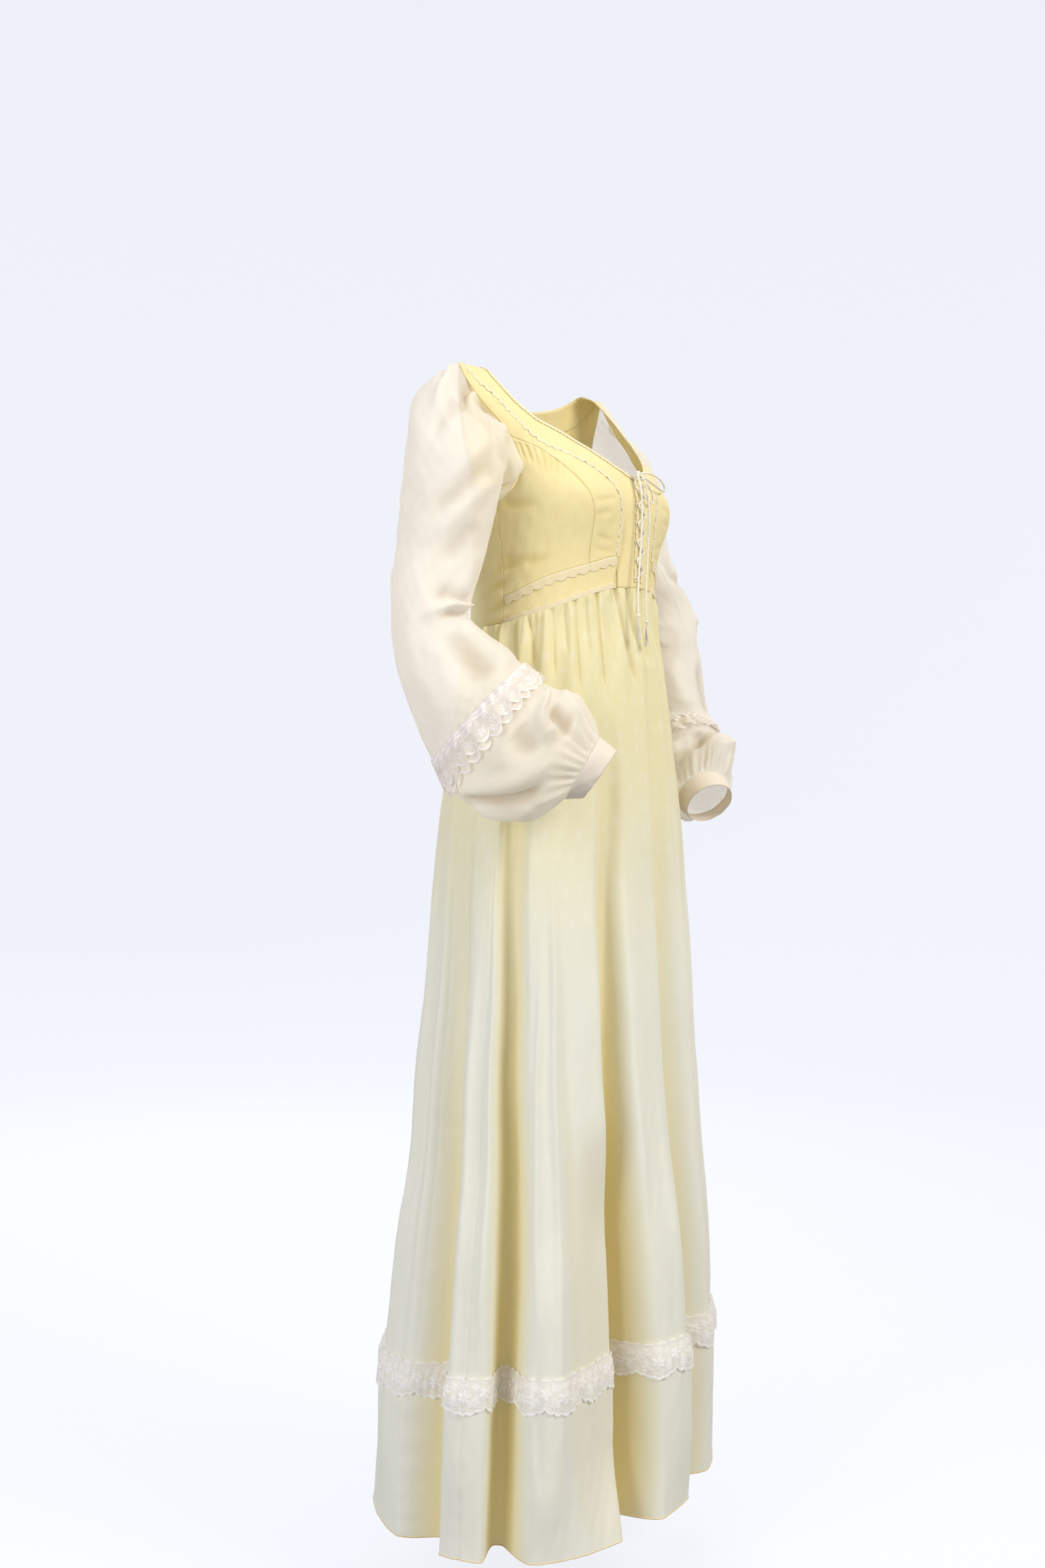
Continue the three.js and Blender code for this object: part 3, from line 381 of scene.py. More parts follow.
def ring_point(row: dict[str, np.ndarray], turn: np.ndarray) -> np.ndarray:
    """Ellipse of a sleeve ring at a turn, from its outer, inner and deep points."""
    c, s = np.cos(turn), np.sin(turn)
    return np.stack([
        (row["o" + k] + row["i" + k]) / 2
        + c * (row["i" + k] - row["o" + k]) / 2
        + s * row["d" + k]
        for k in "xyz"
    ], -1)


def sleeve(rings: Table, ring: np.ndarray, turn: np.ndarray) -> tuple[np.ndarray, np.ndarray]:
    """Sleeve surface on the right arm, with its cap and cuff gathers.

    Rings 0 to 1 rise from the armhole, 1 to 2 reach the first ring of the table.

    Args:
        rings: The sleeve's table of rings.
        ring: Ring numbers with a fraction, 0 at the armhole.
        turn: Radians round the arm.

    Returns:
        The points, and unit vectors out from the middle of the ring.
    """
    ring, turn = np.broadcast_arrays(np.asarray(ring, float), np.asarray(turn, float))
    degrees = (np.degrees(turn) + 450) % 360 - 90
    edge_row = ARMHOLE.where("turn", degrees)
    seam = torso(-edge_row["a"], edge_row["z"])
    radial = seam - ARM_CENTRE
    radial[..., 0] = 0
    radial = unit(radial)
    edge = seam - 0.9 * radial
    rise = edge + CAP_RISE * radial
    rise[..., 0] -= CAP_OUT
    rise[..., 2] -= CAP_DROP * np.maximum(0, -np.sin(turn))
    row = rings.at(np.maximum(ring - 2, 0))
    body = ring_point(row, turn)
    start = edge + (rise - edge) * np.clip(ring, 0, 1)[..., None]
    middle = rise + (body - rise) * np.clip(ring - 1, 0, 1)[..., None]
    point = np.where(ring[..., None] < 1, start, np.where(ring[..., None] < 2, middle, body))
    cap = 3 * smooth(ring, 0, 0.8) * (1 - smooth(ring, 1.6, 3.6))
    near_cuff = smooth(ring, LAST_RING - 2, LAST_RING - 0.4)
    cuff = 3 * near_cuff * (1 - smooth(ring, LAST_RING - 0.3, LAST_RING))
    outward = unit(body - ring_point(row, turn + np.pi))
    wave = (cap + cuff) * np.cos(turn * 8)
    return point + outward * wave[..., None], outward


# Soft folds


@dataclass(frozen=True)
class Fold:
    """One soft crease along a line of places.

    Attributes:
        line: Places along the crease, in the surface's two parameters.
        width: Half width in millimetres.
        height: Height of a ridge in millimetres, below nought for a trough.
        start: Share of the length over which it rises at its first end.
        end: Share of the length over which it fades at its last end.
    """

    line: tuple[tuple[float, float], ...]
    width: float
    height: float
    start: float = 0.25
    end: float = 0.35


def fold_relief(
    u: np.ndarray, v: np.ndarray, folds: list[Fold], scale: tuple[float, float]
) -> np.ndarray:
    """Relief of soft creases on a surface.

    Height times a bell curve of the distance to the crease's line, which fades to
    nought towards both ends.

    Args:
        u: First parameter at each point, an angle in degrees.
        v: Second parameter at each point.
        folds: The creases.
        scale: Millimetres to one unit of u and of v.

    Returns:
        The relief in millimetres at each point.
    """
    u, v = np.broadcast_arrays(u, v)
    relief = np.zeros(u.shape)
    for fold in folds:
        line = np.array(fold.line, dtype=float)
        centre = line[:, 0].mean()
        x = (centre + half_turn(u - centre)) * scale[0]
        y = v * scale[1]
        line = line * scale
        lengths = np.hypot(*np.diff(line, axis=0).T)
        starts = np.concatenate([[0], np.cumsum(lengths)])
        nearest = np.full(u.shape, np.inf)
        share = np.zeros(u.shape)
        for k, length in enumerate(lengths):
            ax, ay = line[k]
            bx, by = line[k + 1]
            t = ((x - ax) * (bx - ax) + (y - ay) * (by - ay)) / length**2
            t = np.clip(t, 0, 1)
            gap = np.hypot(x - ax - t * (bx - ax), y - ay - t * (by - ay))
            closer = gap < nearest
            nearest = np.where(closer, gap, nearest)
            share = np.where(closer, (starts[k] + t * length) / starts[-1], share)
        rise = smooth(share, 0, fold.start) if fold.start > 0 else 1.0
        fade = 1 - smooth(share, 1 - fold.end, 1) if fold.end > 0 else 1.0
        relief += fold.height * np.exp(-((nearest / fold.width) ** 2)) * rise * fade
    return relief


def crumple(x: np.ndarray, y: np.ndarray, across: float, along: float, seed: int) -> np.ndarray:
    """Faint uneven waves of cloth: 16 sine waves of mixed direction, added and scaled.

    Args:
        x: Millimetres across the cloth.
        y: Millimetres along the cloth.
        across: Shortest wave length across.
        along: Shortest wave length along.
        seed: Start of the random numbers.

    Returns:
        Heights that lie mostly between -1 and 1.
    """
    random = np.random.default_rng(seed)
    total = np.zeros(np.broadcast(x, y).shape)
    for _ in range(16):
        a, b = random.uniform(-1, 1, 2)
        phase = random.uniform(0, 2 * math.pi)
        total += np.sin(2 * math.pi * (x * a / across + y * b / along) + phase)
    return total / 6


# Meshes


def spacing(points: np.ndarray, axis: int) -> np.ndarray:
    """Running length in metres along one axis of a grid, the mean of its lines."""
    steps = np.linalg.norm(np.diff(points, axis=axis), axis=-1).mean(axis=1 - axis)
    return np.concatenate([[0], np.cumsum(steps)]) * MM


def grid_mesh(
    name: str,
    points: np.ndarray,
    closed: bool = False,
    marks: dict[str, np.ndarray] | None = None,
    uv: tuple[np.ndarray, np.ndarray] | None = None,
) -> bpy.types.Object:
    """Quad mesh on a grid of points, with its cloth map in metres.

    Args:
        name: The object's name.
        points: Rows by columns by three, in millimetres.
        closed: Whether the last column meets the first.
        marks: Values at each point, by the name of their attribute.
        uv: Metres across at each column and along at each row, else measured.

    Returns:
        The object, with its faces outwards from its middle.
    """
    rows, columns = points.shape[:2]
    cells = columns if closed else columns - 1
    i, j = np.meshgrid(np.arange(rows - 1), np.arange(cells), indexing="ij")
    i, j = i.ravel(), j.ravel()
    after = (j + 1) % columns
    corners = np.stack([
        i * columns + j, (i + 1) * columns + j, (i + 1) * columns + after, i * columns + after,
    ], axis=1)
    whole = np.concatenate([points, points[:, :1]], axis=1) if closed else points
    across, along = uv or (spacing(whole, 1), spacing(points, 0))
    if uv is not None and closed:
        across = np.concatenate([across, [2 * across[-1] - across[-2]]])
    u = np.stack([across[j], across[j], across[j + 1], across[j + 1]], axis=1)
    v = np.stack([along[i], along[i + 1], along[i + 1], along[i]], axis=1)
    flat = points.reshape(-1, 3) * MM
    a, b, c = flat[corners[:, 0]], flat[corners[:, 1]], flat[corners[:, 3]]
    normals = np.cross(b - a, c - a)
    outward = a - flat.mean(axis=0)
    if np.einsum("ij,ij->", normals, outward) < 0:
        corners, u, v = corners[:, ::-1], u[:, ::-1], v[:, ::-1]
    mesh = bpy.data.meshes.new(name)
    mesh.vertices.add(len(flat))
    mesh.vertices.foreach_set("co", flat.ravel())
    mesh.loops.add(corners.size)
    mesh.loops.foreach_set("vertex_index", corners.ravel())
    mesh.polygons.add(len(corners))
    mesh.polygons.foreach_set("loop_start", np.arange(0, corners.size, 4))
    mesh.update(calc_edges=True)
    layer = mesh.uv_layers.new(name="cloth")
    layer.data.foreach_set("uv", np.stack([u, -v], axis=-1).ravel())
    for mark, values in (marks or {}).items():
        attribute = mesh.attributes.new(mark, "FLOAT", "POINT")
        attribute.data.foreach_set("value", np.asarray(values, dtype=float).ravel())
    mesh.shade_smooth()
    piece = bpy.data.objects.new(name, mesh)
    bpy.context.scene.collection.objects.link(piece)
    return piece


def grid_normals(points: np.ndarray, closed: bool) -> np.ndarray:
    """Unit normals of a grid, away from its middle, by central differences."""
    if closed:
        across = np.roll(points, -1, axis=1) - np.roll(points, 1, axis=1)
    else:
        across = np.gradient(points, axis=1)
    normals = unit(np.cross(across, np.gradient(points, axis=0)))
    outward = points - points.reshape(-1, 3).mean(axis=0)
    return normals if np.einsum("ijk,ijk->", normals, outward) > 0 else -normals


def dress_piece(
    piece: bpy.types.Object,
    material: bpy.types.Material,
    nodes: tuple[str, ...] = (),
) -> None:
    """Gives a piece its material and body, and hides the solids that it stands for.

    Args:
        piece: The new piece.
        material: Its finish.
        nodes: The solids that it stands for.
    """
    piece.data.materials.append(material)
    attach(piece, "root")
    if nodes:
        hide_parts(*nodes)
    area = sum(face.area for face in piece.data.polygons)
    LOG.info("%s: %d faces, %.4f square metres", piece.name, len(piece.data.polygons), area)


def thicken(piece: bpy.types.Object, millimetres: float) -> None:
    """Gives a cloth piece its thickness, on its inner side."""
    solidify = piece.modifiers.new("thickness", "SOLIDIFY")
    solidify.thickness = millimetres * MM
    solidify.offset = -1


def circles(first: np.ndarray, second: np.ndarray, turn: np.ndarray) -> np.ndarray:
    """Unit circles in the planes of two rows of axes, at the given turns."""
    return np.cos(turn)[None, :, None] * first[:, None] + np.sin(turn)[None, :, None] * second[:, None]


def tube_mesh(name: str, path: np.ndarray, radius: float, sides: int = 6) -> bpy.types.Object:
    """Closed round tube along a path, for threads and rolled edges.

    Rings of a circle stand across the path's direction at each of its points.

    Args:
        name: The object's name.
        path: Points in millimetres.
        radius: Radius in millimetres.
        sides: Sides of the circle.

    Returns:
        The object.
    """
    along = unit(np.gradient(path, axis=0))
    level = np.where(np.abs(along[:, 2:]) > 0.9, [[1.0, 0, 0]], [[0, 0, 1.0]])
    first = unit(np.cross(along, level))
    second = np.cross(along, first)
    turn = np.arange(sides) * 2 * math.pi / sides
    ring = circles(first, second, turn)
    return grid_mesh(name, path[:, None] + radius * ring, closed=True)


# Materials


def linear(hexa: str) -> tuple[float, float, float, float]:
    """Linear colour from an sRGB hex value such as #F4F0CD."""
    values = [int(hexa[k:k + 2], 16) / 255 for k in (1, 3, 5)]
    out = [c / 12.92 if c <= 0.04045 else ((c + 0.055) / 1.055) ** 2.4 for c in values]
    return (*out, 1.0)


def add_node(
    tree: bpy.types.NodeTree,
    kind: str,
    settings: dict[str, object] | None = None,
    inputs: dict[str | int, object] | None = None,
) -> bpy.types.Node:
    """Adds a node, sets its settings, and sets or links its inputs.

    Args:
        tree: The node tree.
        kind: The node's type, without ShaderNode in front.
        settings: Values of the node's own settings.
        inputs: Values or sockets by the name or number of the input.

    Returns:
        The node.
    """
    node = tree.nodes.new("ShaderNode" + kind)
    for key, value in (settings or {}).items():
        setattr(node, key, value)
    for key, value in (inputs or {}).items():
        if isinstance(value, bpy.types.NodeSocket):
            tree.links.new(value, node.inputs[key])
        else:
            node.inputs[key].default_value = value
    return node


def math_node(tree: bpy.types.NodeTree, operation: str, *values: object) -> bpy.types.NodeSocket:
    """Result of a math operation on sockets or numbers."""
    node = add_node(tree, "Math", {"operation": operation}, dict(enumerate(values)))
    return node.outputs[0]


def mixed(tree: bpy.types.NodeTree, share: object, first: object, second: object) -> bpy.types.NodeSocket:
    """Colour between two colours or sockets, by a share."""
    inputs = {0: share, 6: first, 7: second}
    return add_node(tree, "Mix", {"data_type": "RGBA"}, inputs).outputs[2]


def blended(
    tree: bpy.types.NodeTree, share: object, first: bpy.types.NodeSocket, second: bpy.types.NodeSocket
) -> bpy.types.NodeSocket:
    """Shader between two shaders, by a share."""
    return add_node(tree, "MixShader", None, {0: share, 1: first, 2: second}).outputs[0]


def mapped(
    tree: bpy.types.NodeTree,
    value: bpy.types.NodeSocket,
    source: tuple[float, float],
    target: tuple[float, float],
    eased: bool = False,
) -> bpy.types.NodeSocket:
    """Value brought from one range to another, with soft ends where it is eased."""
    settings = {"interpolation_type": "SMOOTHSTEP"} if eased else None
    inputs = {"Value": value, "From Min": source[0], "From Max": source[1]}
    inputs |= {"To Min": target[0], "To Max": target[1]}
    return add_node(tree, "MapRange", settings, inputs).outputs["Result"]


def bumped(
    tree: bpy.types.NodeTree, height: bpy.types.NodeSocket, strength: float, distance: float
) -> bpy.types.NodeSocket:
    """Normal of a surface that a height raises by a distance in metres."""
    inputs = {"Strength": strength, "Distance": distance, "Height": height}
    return add_node(tree, "Bump", None, inputs).outputs[0]


def empty_material(name: str) -> bpy.types.Material:
    """New material without nodes."""
    material = bpy.data.materials.new(name)
    material.use_nodes = True
    material.node_tree.nodes.clear()
    return material


SPRIGS_PER_METRE = 29.0


@dataclass(frozen=True)
class ClothFinish:
    """Woven cotton cloth.

    Attributes:
        name: What the cloth is.
        lit: Its colour in sRGB hex.
        deep: Its colour in the streaks of thicker yarn.
        low: Its colour lower down, towards the hem, or none.
        glow: Share of the light that comes through.
        sheer: Share of open weave that is seen through.
        sprigs: How strongly the small white woven sprigs show.
        painted_shade: Painted shade: its colour deep in the folds and troughs, or none.
        roughness: Roughness of the fibres.
        yarn: Metres from one drawn yarn to the next.
    """

    name: str
    lit: str
    deep: str
    low: str = ""
    glow: float = 0.35
    sheer: float = 0.0
    sprigs: float = 0.0
    painted_shade: str = ""
    roughness: float = 0.85
    yarn: float = 0.0011

    def build(self) -> bpy.types.Material:
        """Makes the material: streaked yarn, faint crinkle, and light through the cloth."""
        material = empty_material(self.name)
        tree = material.node_tree
        place = add_node(tree, "UVMap", {"uv_map": "cloth"}).outputs["UV"]
        solid = add_node(tree, "TexCoord").outputs["Object"]
        warp = self.streaks(tree, place, (1 / self.yarn, 0.06 / self.yarn, 1))
        weft = self.streaks(tree, place, (0.06 / self.yarn, 1 / self.yarn, 1))
        weave = math_node(tree, "MULTIPLY_ADD", warp, 0.5, math_node(tree, "MULTIPLY", weft, 0.5))
        crinkle = add_node(
            tree, "TexNoise", None, {"Vector": solid, "Scale": 90.0, "Detail": 3.0}
        ).outputs["Fac"]
        share = mapped(tree, weave, (0.35, 0.65), (0.0, 1.0))
        colour = mixed(tree, share, linear(self.deep), linear(self.lit))
        if self.low:
            height = add_node(tree, "SeparateXYZ", None, {0: solid}).outputs["Z"]
            fall = mapped(tree, height, (-0.38, -0.78), (0.0, 0.9), eased=True)
            colour = mixed(tree, fall, colour, linear(self.low))
        if self.sprigs:
            colour = self.sprigged(tree, place, colour)
        if self.painted_shade:
            # Painted shade: a deeper yellow in the valleys and troughs, by how deep each place lies
            folded = add_node(tree, "Attribute", {"attribute_name": "painted_shade"}).outputs["Fac"]
            colour = mixed(tree, math_node(tree, "MULTIPLY", folded, 0.8), colour, linear(self.painted_shade))
        height = math_node(tree, "ADD", crinkle, math_node(tree, "MULTIPLY", weave, 0.12))
        bump = bumped(tree, height, 0.4, 0.0006)
        cloth = add_node(tree, "BsdfPrincipled", None, {
            "Base Color": colour, "Roughness": self.roughness, "Normal": bump,
            "Sheen Weight": 0.15, "Sheen Roughness": 0.5, "Specular IOR Level": 0.2,
        }).outputs[0]
        through = add_node(tree, "BsdfTranslucent", None, {"Color": colour, "Normal": bump}).outputs[0]
        shader = blended(tree, self.glow, cloth, through)
        if self.sheer:
            # Open weave between the yarns
            shader = blended(tree, self.sheer, shader, add_node(tree, "BsdfTransparent").outputs[0])
        add_node(tree, "OutputMaterial", None, {"Surface": shader})
        return material

    @staticmethod
    def streaks(
        tree: bpy.types.NodeTree, place: bpy.types.NodeSocket, scale: tuple[float, float, float]
    ) -> bpy.types.NodeSocket:
        """Uneven yarns: noise stretched along the yarn, drawn coarse enough to show."""
        vector = add_node(
            tree, "Mapping", {"vector_type": "POINT"}, {"Vector": place, "Scale": scale}
        ).outputs[0]
        return add_node(
            tree, "TexNoise", None, {"Vector": vector, "Scale": 1.0, "Detail": 2.0}
        ).outputs["Fac"]

    def sprigged(
        self,
        tree: bpy.types.NodeTree,
        place: bpy.types.NodeSocket,
        colour: bpy.types.NodeSocket,
    ) -> bpy.types.NodeSocket:
        """Small white five-petalled sprigs about 34 mm apart, each turned its own way.

        A sprig is where the distance to its cell's middle is under a radius that
        swells five times a turn, broken by fine noise as loose yarn is.
        """
        cells = add_node(tree, "TexVoronoi", {"voronoi_dimensions": "2D"}, {
            "Vector": place, "Scale": SPRIGS_PER_METRE, "Randomness": 0.75})
        scaled, middle = (
            add_node(
                tree, "VectorMath", {"operation": "SCALE"}, {0: source, "Scale": SPRIGS_PER_METRE}
            ).outputs[0]
            for source in (place, cells.outputs["Position"])
        )
        offset = add_node(tree, "VectorMath", {"operation": "SUBTRACT"}, {0: scaled, 1: middle}).outputs[0]
        parts = add_node(tree, "SeparateXYZ", None, {0: offset})
        random = add_node(tree, "SeparateColor", None, {0: cells.outputs["Color"]}).outputs[0]
        turn = math_node(tree, "ARCTAN2", parts.outputs[1], parts.outputs[0])
        turned = math_node(tree, "MULTIPLY_ADD", random, 6.28, turn)
        petals = math_node(tree, "COSINE", math_node(tree, "MULTIPLY", turned, 5.0))
        reach = math_node(tree, "MULTIPLY_ADD", petals, 0.09, 0.2)
        inside = math_node(tree, "SUBTRACT", reach, cells.outputs["Distance"])
        broken = add_node(
            tree, "TexNoise", None, {"Vector": place, "Scale": 420.0, "Detail": 2.0}
        ).outputs["Fac"]
        edge = math_node(tree, "MULTIPLY_ADD", math_node(tree, "SUBTRACT", broken, 0.5), 0.35, inside)
        mask = mapped(tree, edge, (-0.02, 0.06), (0.0, self.sprigs), eased=True)
        return mixed(tree, mask, colour, linear("#FBF8EC"))


@dataclass(frozen=True)
class LaceFinish:
    """Machine lace: solid cotton motifs on a fine net.

    Attributes:
        name: What the lace is.
        thread: Colour of the motifs.
        net: Colour of the net.
        open_share: Share of the net that is seen through.
    """

    name: str
    thread: str
    net: str
    open_share: float = 0.45

    def build(self) -> bpy.types.Material:
        """Makes the material: the motif attribute mixes opaque thread and open net."""
        material = empty_material(self.name)
        tree = material.node_tree
        place = add_node(tree, "UVMap", {"uv_map": "cloth"}).outputs["UV"]
        motif = add_node(tree, "Attribute", {"attribute_name": "motif"}).outputs["Fac"]
        # Net cells of 1.6 mm, about twice as coarse as real ones, so that they show
        cells = add_node(
            tree, "TexVoronoi", {"voronoi_dimensions": "2D", "feature": "DISTANCE_TO_EDGE"},
            {"Vector": place, "Scale": 620.0, "Randomness": 0.6},
        ).outputs["Distance"]
        strands = mapped(tree, cells, (0.05, 0.2), (1.0, 0.0))
        solid = math_node(tree, "MAXIMUM", motif, math_node(tree, "MULTIPLY", strands, 0.6))
        colour = mixed(tree, motif, linear(self.net), linear(self.thread))
        bump = bumped(tree, solid, 0.4, 0.00012)
        thread = add_node(tree, "BsdfPrincipled", None, {
            "Base Color": colour, "Roughness": 0.75, "Normal": bump,
            "Sheen Weight": 0.2, "Specular IOR Level": 0.3}).outputs[0]
        through = add_node(tree, "BsdfTranslucent", None, {"Color": colour}).outputs[0]
        cloth = blended(tree, 0.25, thread, through)
        seen = math_node(tree, "MULTIPLY", math_node(tree, "SUBTRACT", 1.0, solid), self.open_share)
        shader = blended(tree, seen, cloth, add_node(tree, "BsdfTransparent").outputs[0])
        add_node(tree, "OutputMaterial", None, {"Surface": shader})
        return material


@dataclass(frozen=True)
class ThreadFinish:
    """Twisted cotton cord, thread or satin ribbon.

    Attributes:
        name: What it is.
        colour: Its colour.
        pitch: Metres from one twist to the next.
        roughness: Roughness, low for satin.
        sheen: Weight of the fibres' sheen.
    """

    name: str
    colour: str
    pitch: float = 0.0016
    roughness: float = 0.7
    sheen: float = 0.3

    def build(self) -> bpy.types.Material:
        """Makes the material: slanted twists as fine ridges, with shade painted darker in the grooves
        between them.
        """
        material = empty_material(self.name)
        tree = material.node_tree
        solid = add_node(tree, "TexCoord").outputs["Object"]
        twist = add_node(tree, "TexWave", {"bands_direction": "DIAGONAL"}, {
            "Vector": solid, "Scale": 0.31 / self.pitch, "Distortion": 1.5}).outputs["Fac"]
        # Painted shade: the grooves between the twists are 14 per cent darker
        painted_ply_shade = tuple(0.86 * c for c in linear(self.colour)[:3]) + (1.0,)
        colour = mixed(tree, twist, painted_ply_shade, linear(self.colour))
        bump = bumped(tree, twist, 0.7, 0.0005)
        cord = add_node(tree, "BsdfPrincipled", None, {
            "Base Color": colour, "Roughness": self.roughness, "Normal": bump,
            "Sheen Weight": self.sheen}).outputs[0]
        add_node(tree, "OutputMaterial", None, {"Surface": cord})
        return material


# Warm pale yellow and matt, because a lining lies behind it, with shade painted deeper in the folds
BODICE_VOILE = ClothFinish(
    "lined cotton voile of the bodice", "#F8EBB4", "#F4E3A6", glow=0.1, painted_shade="#E8D284")
# Pale yellow that whitens lower down, with faint sprigs, light through it and shade painted in the valleys
SKIRT_VOILE = ClothFinish(
    "cotton voile of the skirt", "#F5EDC2", "#F1E7B6", low="#F4F4E8", glow=0.14, sprigs=0.26,
    painted_shade="#F2E09A")
# Cream and sheer, so the far side of the sleeve shows through, with shade painted in the troughs
SLEEVE_VOILE = ClothFinish(
    "sheer voile of the sleeves", "#FBF5E8", "#F9F2E3", glow=0.2, sheer=0.3, painted_shade="#D6C6AF")
# Doubled cloth: warmer, and hardly any light comes through
CUFF_VOILE = ClothFinish(
    "folded voile of the cuffs", "#F3E8D8", "#EDE1CF", glow=0.1)
# The whitest part of the dress: raised flowers on an open net
GALLOON = LaceFinish("cotton lace of the skirt", "#FFFDFB", "#FCF7F0", 0.22)
# Creamier lace, whose net lets the puff show through
FRILL_LACE = LaceFinish("cotton lace of the sleeves", "#FCF8F2", "#F6EFE4", 0.35)
# A faint shine on the puckers of the header
RIBBON = ThreadFinish("satin ribbon of the header", "#F6EBE2", 0.004, 0.35, 0.2)
# Solid pale braid with small raised motifs, lighter than the cloth beside it
TRIM_BRAID = LaceFinish("cotton trim", "#FFF6DA", "#FBECBE", 0.0)
# Matt cream cord whose slanted plies throw fine shadows
COTTON_CORD = ThreadFinish("twisted cotton cord", "#FAF3E0")
# A warmer, darker line along the hem
HEM_THREAD = ThreadFinish("overlock thread of the hem", "#F0D9A4", 0.0025)


# Bodice

BODICE_SCALE = (2.45, 1.0)
# Millimetres of trough that have the deepest painted shade
BODICE_SHADE_DEPTH = 3
SEAM_LINES = (
    tuple(zip(FRONT.rows[:12, 4], FRONT.rows[:12, 5])),
    tuple(zip(FRONT.rows[:12, 2], FRONT.rows[:12, 3])),
)
BODICE_FOLDS = [
    Fold(((66.8, -100), (69.5, -122)), 2.6, -2.0, 0.0, 0.6),
    Fold(((63.5, -101), (66.3, -125)), 2.2, -1.6, 0.0, 0.6),
    Fold(((60, -103), (63, -130)), 2.6, -2.1, 0.0, 0.6),
    Fold(((56.6, -106), (60.5, -131)), 2.2, -1.6, 0.0, 0.6),
    Fold(((53.2, -111), (57.8, -138)), 2.6, -2.0, 0.0, 0.6),
    Fold(((50.6, -116), (55.2, -141)), 2.2, -1.4, 0.0, 0.6),
    Fold(((48.2, -121), (53.2, -146)), 2.4, -1.6, 0.0, 0.6),
    Fold(((46, -127), (50, -146)), 2.2, -1.1, 0.0, 0.6),
    Fold(((88, -168), (76, -173), (62, -170)), 7, -1.6),
    Fold(((95, -232), (70.5, -238), (52, -231)), 6, -1.6),
    Fold(((98, -249), (90, -244), (76, -241)), 5, -2.0),
    Fold(((118, -281), (99, -268), (82, -255)), 5.5, -3.2),
    Fold(((120, -292), (104, -283), (88, -270)), 4.5, 2.4),
    Fold(((116, -300), (98, -292), (82, -278)), 5, -3.0),
    Fold(((110, -311), (96, -304), (84, -296)), 4, 2.0),
    Fold(((103.5, -314), (93.8, -310), (82, -302)), 3.5, -2.0),
    Fold(((128, -268), (112, -258), (98, -246)), 6, -2.2),
    Fold(((36, -168), (28, -163), (20, -161)), 3.5, -1.0),
    Fold(((36.8, -184), (30, -180), (22, -176)), 3.5, -1.1),
    Fold(((33, -206), (26, -209), (20, -210)), 3.5, -1.2),
    Fold(((35, -221), (27, -223), (19, -222)), 3, -0.8),
    Fold(((12.8, -177), (14.2, -224), (18, -252), (18.8, -268)), 2.4, -2.2, 0.3, 0.0),
    Fold(((140, -240), (150, -262), (156, -300)), 7, -2.4),
    Fold(((170, -236), (166, -268), (170, -305)), 8, -2.0),
    Fold(((126, -200), (140, -214), (156, -222)), 7, -2.0),
    Fold(((122, -150), (136, -170), (150, -182)), 8, -1.8),
]


def bodice_relief(angle: np.ndarray, z: np.ndarray) -> np.ndarray:
    """Relief of the bodice: soft folds, sunken seams and faint crumples."""
    folded = np.abs(half_turn(angle))
    relief = fold_relief(folded, z, BODICE_FOLDS, BODICE_SCALE)
    relief *= 1 - 0.85 * smooth(folded, 92, 108)
    seams = [Fold(line, 1.3, -0.9, 0.0, 0.0) for line in SEAM_LINES]
    relief += fold_relief(folded, z, seams, BODICE_SCALE)
    relief += 0.35 * crumple(angle * BODICE_SCALE[0], z, 16, 26, 3)
    return relief


def bodice_points(angle: np.ndarray, z: np.ndarray, lift: float = 0.0) -> np.ndarray:
    """Bodice surface with its relief, moved out along the normal."""
    relief = bodice_relief(angle, z) + lift
    return torso(angle, z) + torso_normal(angle, z) * relief[..., None]


def ruled(
    first: tuple[np.ndarray, np.ndarray], second: tuple[np.ndarray, np.ndarray], columns: int
) -> tuple[np.ndarray, np.ndarray]:
    """Angles and heights on straight lines between two edges of a panel.

    Args:
        first: Angles and heights along the first edge.
        second: Angles and heights along the second edge.
        columns: Steps between them.

    Returns:
        Angle and height at each row and column.
    """
    share = np.linspace(0, 1, columns + 1)[None, :]
    return tuple(a[:, None] * (1 - share) + b[:, None] * share for a, b in zip(first, second))


def back_neck_line(key: str, count: int) -> tuple[np.ndarray, np.ndarray]:
    """Angles and heights along an edge of the back neck, from shoulder to shoulder.

    Args:
        key: The edge, inner or outer.
        count: Places from each shoulder to the centre.

    Returns:
        The angles and the heights.
    """
    last = len(BACK_NECK.rows) - 1
    place = np.concatenate([np.linspace(0, last, count), np.linspace(last, 0, count)[1:]])
    angle = BACK_NECK.column(key + "_a", place)
    angle = np.where(np.arange(len(place)) >= count, 360 - angle, angle)
    return angle, BACK_NECK.column(key + "_z", place)


